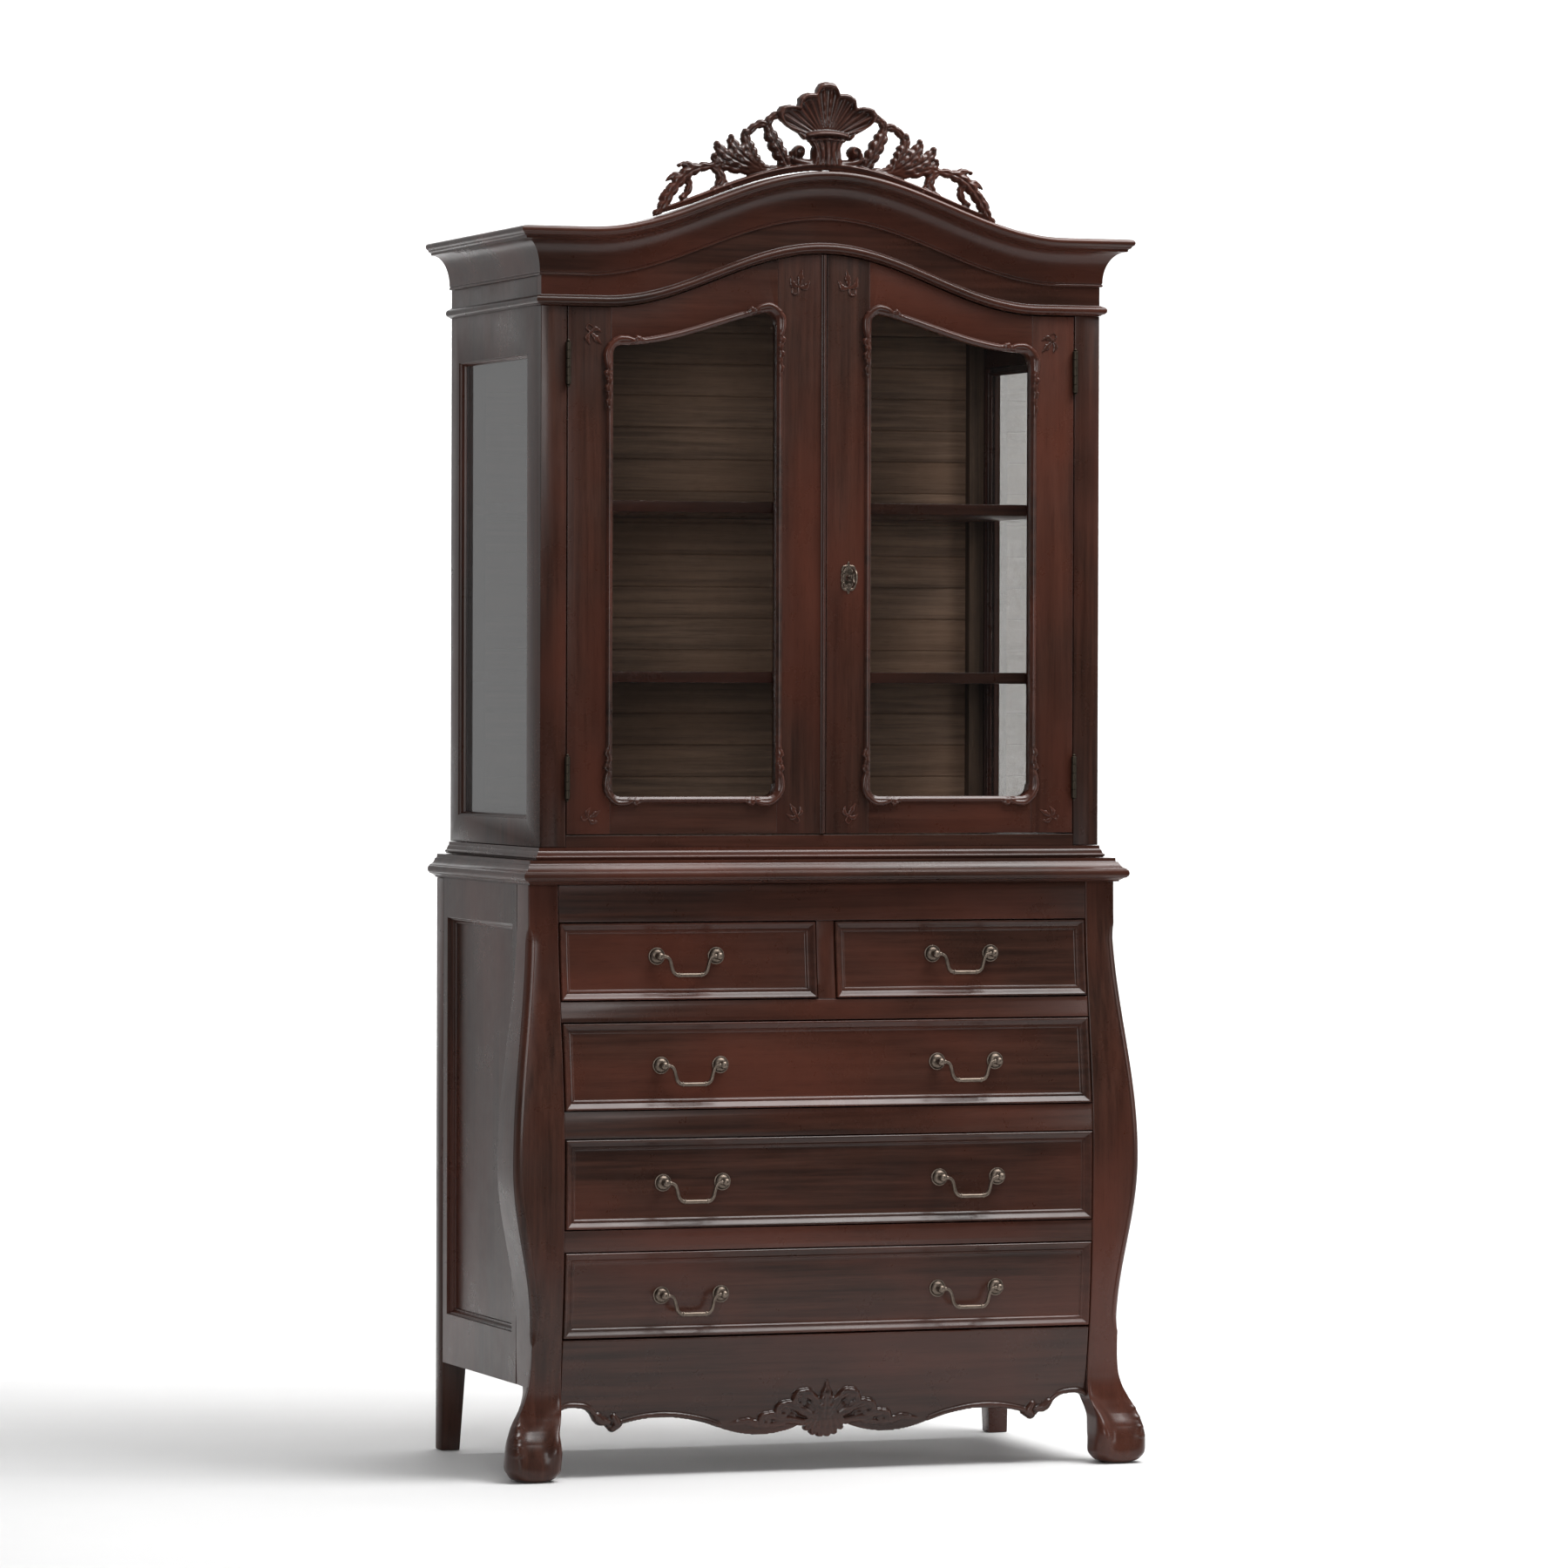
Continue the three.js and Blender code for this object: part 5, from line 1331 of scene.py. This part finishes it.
plate_piece = finish_piece("cast_key_plate", *cast_plate, pewter, "door_right", ["escutcheon"],
                           slot="pewter", crease=60)
ease_carving(plate_piece, 0.4, 2)
pin_profile = [(0, -1.0), (1.5, -0.8), (1.9, 0), (1.9, 0.4), (0, 0.4)]
pins = [turned(pin_profile, (LOCK_X, FACE_Y - 1.2, LOCK_Z + dz), "Y", 14) for dz in (-17, 17)]
finish_piece("key_plate_pins", *merged(*pins), pewter, "door_right", slot="pewter")

KEY_BOW = -16.5          # the middle of the bow, forward of the top rail's face
BOW_REACH, BOW_HALF_HEIGHT, BOW_WIRE = 8.4, 10.4, 2.3
shank_profile = [(0, 37.4), (2.6, 37.4), (2.9, 36.6), (2.9, 9.2), (3.7, 8.4), (3.9, 7.2), (3.0, 6.2),
                 (2.5, 4.4), (2.4, 0.0), (3.2, -1.2), (4.4, -2.4), (4.4, -3.6), (3.2, -4.8), (2.6, -6.4),
                 (3.4, -7.8), (0, -8.6)]
shank = turned(shank_profile, (LOCK_X, 0, LOCK_Z), "Y", 20)
around = np.linspace(0, 2 * np.pi, 40, endpoint=False)
bow_path = np.column_stack([BOW_REACH * np.cos(around),
                            BOW_HALF_HEIGHT * np.sin(around) * (1 - 0.12 * np.cos(around))])
bow_points, bow_faces = flat_tube(bow_path, 0, BOW_WIRE, 12, close_path=True)
bow = ([(LOCK_X + y * 0.8, KEY_BOW + x, LOCK_Z + z) for x, y, z in bow_points], bow_faces)
finish_piece("cabinet_key", *merged(shank, bow), pewter, "key", ["key"], slot="pewter", crease=45)
keep_node("lock_case", steel, 0.8)
case_screws = [turned([(0, 0.1), (3.0, 0.1), (2.8, 1.0), (0, 1.5)], (LOCK_X + dx, 49.3, LOCK_Z + dz), "Y", 14)
               for dx in (-15, 15) for dz in (-20, 20)]
finish_piece("lock_case_screws", *merged(*case_screws), steel, "door_right", slot="pewter")
print("key reaches", -round(KEY_BOW - BOW_REACH - BOW_WIRE, 1), "mm in front of the top rail's face")

# %% [markdown]
# ## Crest
# The crest is fretted out of thick stock and carved through. A fluted vase stands in the middle under a
# turned collar, and a shell opens above it. Acanthus leaves spring from its foot on both sides, cross, and
# fall along the arch to the ends. The whole stands on a rim that follows the cornice.

# %% Shell, vase and leaves of the crest
CREST_BACK = 12
crest = Relief((-300, 300), (1996, 2237.5), 1.15)
CREST_LINE = CORNICE_Z + 78 + GAP


def rim_z(x):
    return CREST_LINE + float(cornice_arch(x))


rim = [(x, rim_z(x) + 6.5) for x in np.linspace(0, 290, 20)]
crest.both_sides(rim, [8.0, 8.0, 7.5, 6.5, 4.0], [11, 11, 10, 9, 6], "flat", samples=80)
crest.both_sides([(x, z + 3.4) for x, z in rim], [4.2, 4.2, 4.0, 3.4, 2.4], [15, 15, 14, 12, 8], samples=80)

# The vase: a swelling body with upright flutes, a foot, and a collar of two rings.
COLLAR_Z = 2149
crest.stroke([(0, 2096), (0, 2104), (0, 2112), (0, 2119)], [35, 31, 27, 27], [12, 15, 14, 13], "flat")
for k in (-2, -1, 0, 1, 2):
    low_x, high_x = k * 9.5, k * 12.5
    crest.stroke([(low_x, 2102), (k * 8.6, 2116), (k * 9.4, 2130), (high_x, 2142)], [5.2, 5.0, 5.2, 6.6],
                 [19 - abs(k), 21 - 1.5 * abs(k), 20 - abs(k), 17 - abs(k)], "leaf", 0)
collar = [(-33, -1), (-17, 1.5), (0, 2.4), (17, 1.5), (33, -1)]
crest.stroke([(x, COLLAR_Z + up) for x, up in collar], [4.6, 5.0, 5.4, 5.0, 4.6], [18, 23, 24, 23, 18])
crest.stroke([(-30, COLLAR_Z - 9), (0, COLLAR_Z - 6.4), (30, COLLAR_Z - 9)], [3.0, 3.2, 3.0], [16, 21, 16])

# The shell: hollow flutes that spread like a fan from the collar out to seven rolled lobes.
SHELL_CENTRE = (0, 2140)
# Degrees from upright, and the shell's reach that way.
shell_edge = [(0, 96), (8, 94), (13, 86), (15, 80), (20, 83), (28, 86), (36, 84), (41, 77), (43, 75),
              (48, 86), (56, 97), (63, 97), (68, 90), (72, 76), (78, 50), (90, 40)]
FLUTE_ANGLE = 9.5
grid_x, grid_z = np.meshgrid(crest.xs - SHELL_CENTRE[0], crest.zs - SHELL_CENTRE[1])
from_centre = np.hypot(grid_x, grid_z)
turned_by = np.degrees(np.abs(np.arctan2(grid_x, grid_z)))
share = from_centre / np.interp(turned_by, *zip(*shell_edge))
across = (turned_by / FLUTE_ANGLE + 0.5) % 1 * 2 - 1
hollow = 1 - 0.42 * np.sqrt(np.clip(1 - across ** 2, 0, 1))
fan = (13 + 8 * share ** 2) * hollow
roll = 21 * np.sqrt(np.clip(1 - ((share - 0.93) / 0.075) ** 2, 0, 1)) * (0.9 + 0.1 * hollow)
shell = np.where((share < 1) & (turned_by < 90), np.maximum(fan, roll), -1)
crest.height = np.maximum(crest.height, shell)

# Scroll knobs beside the vase.
KNOB_X, KNOB_Z = 46, 2122
for s in (-1, 1):
    crest.dome(s * KNOB_X, KNOB_Z, 11.5, 17)
    turn = [(s * KNOB_X + s * (11 - 1.4 * i) * math.cos(0.8 * i - 0.6),
             KNOB_Z + (11 - 1.4 * i) * math.sin(0.8 * i - 0.6)) for i in range(7)]
    crest.stroke(turn, [3.8, 3.6, 3.2, 2.8, 2.4], [17, 20, 21, 22, 22], samples=48)
    stem = [(s * 26, 2102), (s * 44, 2105), (s * 57, 2110), (s * 60, 2120)]
    crest.stroke(stem, [9, 8, 7, 4], [13, 14, 13, 11])

# Leaves: line, widths, heights, teeth. Given for the right half.
acanthus = [
    # the broad leaf that leans on the shell, and its curl under the shell's last lobe
    ([(66, 2098), (75, 2112), (85, 2130), (95, 2149), (99, 2164)], (11, 14, 15, 13, 6),
     (11, 15, 16, 14, 9), 5),
    ([(98, 2158), (97, 2170), (90, 2177), (82, 2181)], (7, 8, 8, 7), (10, 13, 13, 11), 2),
    # the tall spray: leaves side by side from one root
    ([(104, 2090), (121, 2106), (132, 2126), (138, 2147)], (9, 13, 15, 8), (10, 13, 14, 10), 5),
    ([(108, 2090), (134, 2106), (150, 2120), (161, 2136)], (8, 14, 16, 9), (10, 15, 15, 11), 4),
    ([(110, 2089), (144, 2100), (166, 2111), (183, 2125)], (8, 13, 15, 9), (10, 14, 14, 10), 5),
    ([(112, 2087), (148, 2092), (174, 2098), (190, 2108)], (7, 10, 11, 7), (8, 12, 12, 9), 4),
    # the link between the leaning leaf and the tall spray
    ([(99, 2162), (110, 2165), (122, 2160), (132, 2150)], (6, 8, 8, 7), (9, 12, 12, 10), 2),
    # the low leaf that runs out to the side, and the leaf that curls back under it
    ([(70, 2093), (104, 2094), (146, 2099), (180, 2099), (208, 2092)], (6, 8, 8, 8, 6),
     (9, 11, 11, 11, 9), 6),
    ([(196, 2096), (184, 2088), (178, 2075), (184, 2062), (193, 2055)], (6, 9, 10, 8, 5),
     (9, 12, 12, 10, 8), 4),
    ([(180, 2074), (170, 2068), (163, 2061)], (7, 7, 4), (9, 10, 7), 2),
    # the branch that falls to the end, with leaflets on its outer side
    ([(194, 2096), (222, 2090), (244, 2076), (262, 2054), (275, 2032), (288, 2012)], (7, 11, 12, 11, 10, 6),
     (10, 13, 14, 13, 12, 9), 8),
    ([(220, 2090), (236, 2097), (250, 2096)], (7, 7, 2.5), (10, 10, 5), 2),
    ([(244, 2078), (258, 2078), (270, 2070)], (7, 7, 2.5), (10, 10, 5), 2),
    ([(260, 2056), (272, 2051), (282, 2040)], (7, 6, 2.5), (10, 10, 5), 2),
    ([(240, 2076), (232, 2066), (235, 2052), (245, 2043)], (6, 8, 7, 5), (9, 11, 10, 8), 3),
]
for points, widths, rises, teeth in acanthus:
    crest.both_sides(points, widths, rises, "leaf", teeth)
for x, z, radius in ((137, 2152, 6.0), (161, 2143, 5.5), (185, 2131, 6.0), (190, 2113, 4.5), (249, 2095, 4.2),
                     (192, 2056, 6.0), (165, 2062, 5.0), (245, 2044, 5.0)):
    for s in (-1, 1):
        crest.dome(s * x, z, radius, 13)

# Nothing may reach below the line where the crest stands on the cornice.
grid_x, grid_z = np.meshgrid(crest.xs, crest.zs)
crest.height[grid_z < CREST_LINE + cornice_arch(grid_x) + 0.2] = -1
crest_solid = crest.solid(lambda x, z: np.full_like(z, CREST_BACK - 0.5),
                          lambda x, z: np.full_like(z, CREST_BACK))
crest_piece = finish_piece("carved_crest", *crest_solid, carved_wood, instead_of=["crest"], crease=70)
ease_carving(crest_piece, 0.5, 4)
print("crest points:", len(crest_piece.data.vertices))

# %% [markdown]
# ## Floor, light and camera
# The cabinet stands on a plain pale floor that sweeps up behind it. Two softboxes overhead, a small one under
# a wide one, light every ledge and bevel. One in front and to the left lights the whole front, a weak one
# fills in from the right, and one above and behind lights the sweep. The room behind is brighter than the
# room in front, so the polished fronts stay dark and the side that turns away from the eye turns pale.

# %% Stage
def stage_material():
    material, tree = new_tree("pale_floor")
    place = put(tree, "ShaderNodeTexCoord").outputs["Object"]
    cloud = put(tree, "ShaderNodeTexNoise", {"Vector": place, "Scale": 1.5, "Detail": 4}).outputs["Fac"]
    tone = ramp(tree, cloud, [(0.3, 0.72), (0.7, 0.76)])
    shader = put(tree, "ShaderNodeBsdfPrincipled", {"Base Color": tone, "Roughness": 0.7})
    # The sweep can't be seen from its back, so it never hides the cabinet's own back.
    behind = put(tree, "ShaderNodeNewGeometry").outputs["Backfacing"]
    clear = put(tree, "ShaderNodeBsdfTransparent")
    surface = put(tree, "ShaderNodeMixShader", {0: behind, 1: shader.outputs[0], 2: clear.outputs[0]})
    put(tree, "ShaderNodeOutputMaterial", {"Surface": surface.outputs[0]})
    return material


FLOOR_FRONT, FLOOR_BACK = -1.9, 4.0
SWEEP_RADIUS = 3.0
SWEEP_TOP = 5.0
SWEEP_RIGHT = 9.0
FLOOR_DROP = 0.0006      # the floor lies this far under the feet, so that they don't share a face

quarter = np.linspace(0, math.pi / 2, 17)[1:]
sweep = [(FLOOR_FRONT, 0.0), (1.0, 0.0), (FLOOR_BACK, 0.0)]
sweep += [(FLOOR_BACK + SWEEP_RADIUS * math.sin(a), SWEEP_RADIUS - SWEEP_RADIUS * math.cos(a))
          for a in quarter]
sweep += [(FLOOR_BACK + SWEEP_RADIUS, SWEEP_TOP)]
mesh = bpy.data.meshes.new("studio_sweep")
# The left edge runs in towards the back, so that the case's left side mirrors a dimmer room.
points = [(x, y, z - FLOOR_DROP) for y, z in sweep
          for x in (float(np.interp(y, [1, 7], [-2.8, -0.5])), SWEEP_RIGHT)]
mesh.from_pydata(points, [], [(2 * k, 2 * k + 1, 2 * k + 3, 2 * k + 2) for k in range(len(sweep) - 1)])
floor = bpy.data.objects.new("studio_sweep", mesh)
scene.collection.objects.link(floor)
mesh.shade_smooth()
mesh.materials.append(stage_material())


def softbox(name, place, aim, size, power):
    light = bpy.data.lights.new(name, "AREA")
    light.shape = "RECTANGLE"
    light.size, light.size_y = size
    light.energy = power
    holder = bpy.data.objects.new(name, light)
    holder.location = place
    toward = bpy.data.objects.new(name + "_aim", None)
    toward.location = aim
    scene.collection.objects.link(holder)
    scene.collection.objects.link(toward)
    track = holder.constraints.new("TRACK_TO")
    track.target = toward
    track.track_axis, track.up_axis = "TRACK_NEGATIVE_Z", "UP_Y"


softbox("overhead", (1.1, -1.4, 4.9), (0.8, -0.9, 1.0), (4.6, 4.4), 130)
softbox("bevel_light", (1.6, -1.2, 4.7), (0.9, -0.8, 1.0), (2.5, 2.8), 250)
softbox("front", (-2.4, -6.6, 2.2), (0, 0, 1.3), (3.0, 2.4), 135)
softbox("right_fill", (5.5, -3.2, 1.8), (0, 0, 0.9), (1.2, 2.6), 40)
softbox("behind", (2.2, 3.4, 5.0), (2.2, 6.5, 1.6), (6.0, 2.0), 400)

world = bpy.data.worlds.new("studio")
scene.world = world
world.use_nodes = True
tree = world.node_tree
tree.nodes.clear()
direction = put(tree, "ShaderNodeTexCoord").outputs["Generated"]
parts = put(tree, "ShaderNodeSeparateXYZ", {0: direction})
depth = put(tree, "ShaderNodeMapRange", {"Value": parts.outputs["Y"], "From Min": -1, "From Max": 1})
tone = ramp(tree, depth.outputs[0], [(0.15, 0.05), (0.45, 0.14), (0.62, 0.40), (0.95, 0.46)])
back = put(tree, "ShaderNodeBackground", {"Color": tone, "Strength": 1.0})
put(tree, "ShaderNodeOutputWorld", {"Surface": back.outputs[0]})

# %% Camera
CAMERA_PLACE = (-3.981, -11.416, 1.260)
CAMERA_YAW, CAMERA_PITCH, CAMERA_ROLL = 0.336, -0.013, -0.003
LENS = 169.45
camera = bpy.data.cameras.new("camera")
camera.lens = LENS
camera.sensor_width = 36
eye = bpy.data.objects.new("camera", camera)
scene.collection.objects.link(eye)
eye.location = CAMERA_PLACE
eye.rotation_euler = (math.pi / 2 + CAMERA_PITCH, CAMERA_ROLL, -CAMERA_YAW)
scene.camera = eye
scene.view_settings.view_transform = "Standard"

# %% End
print("scene built")
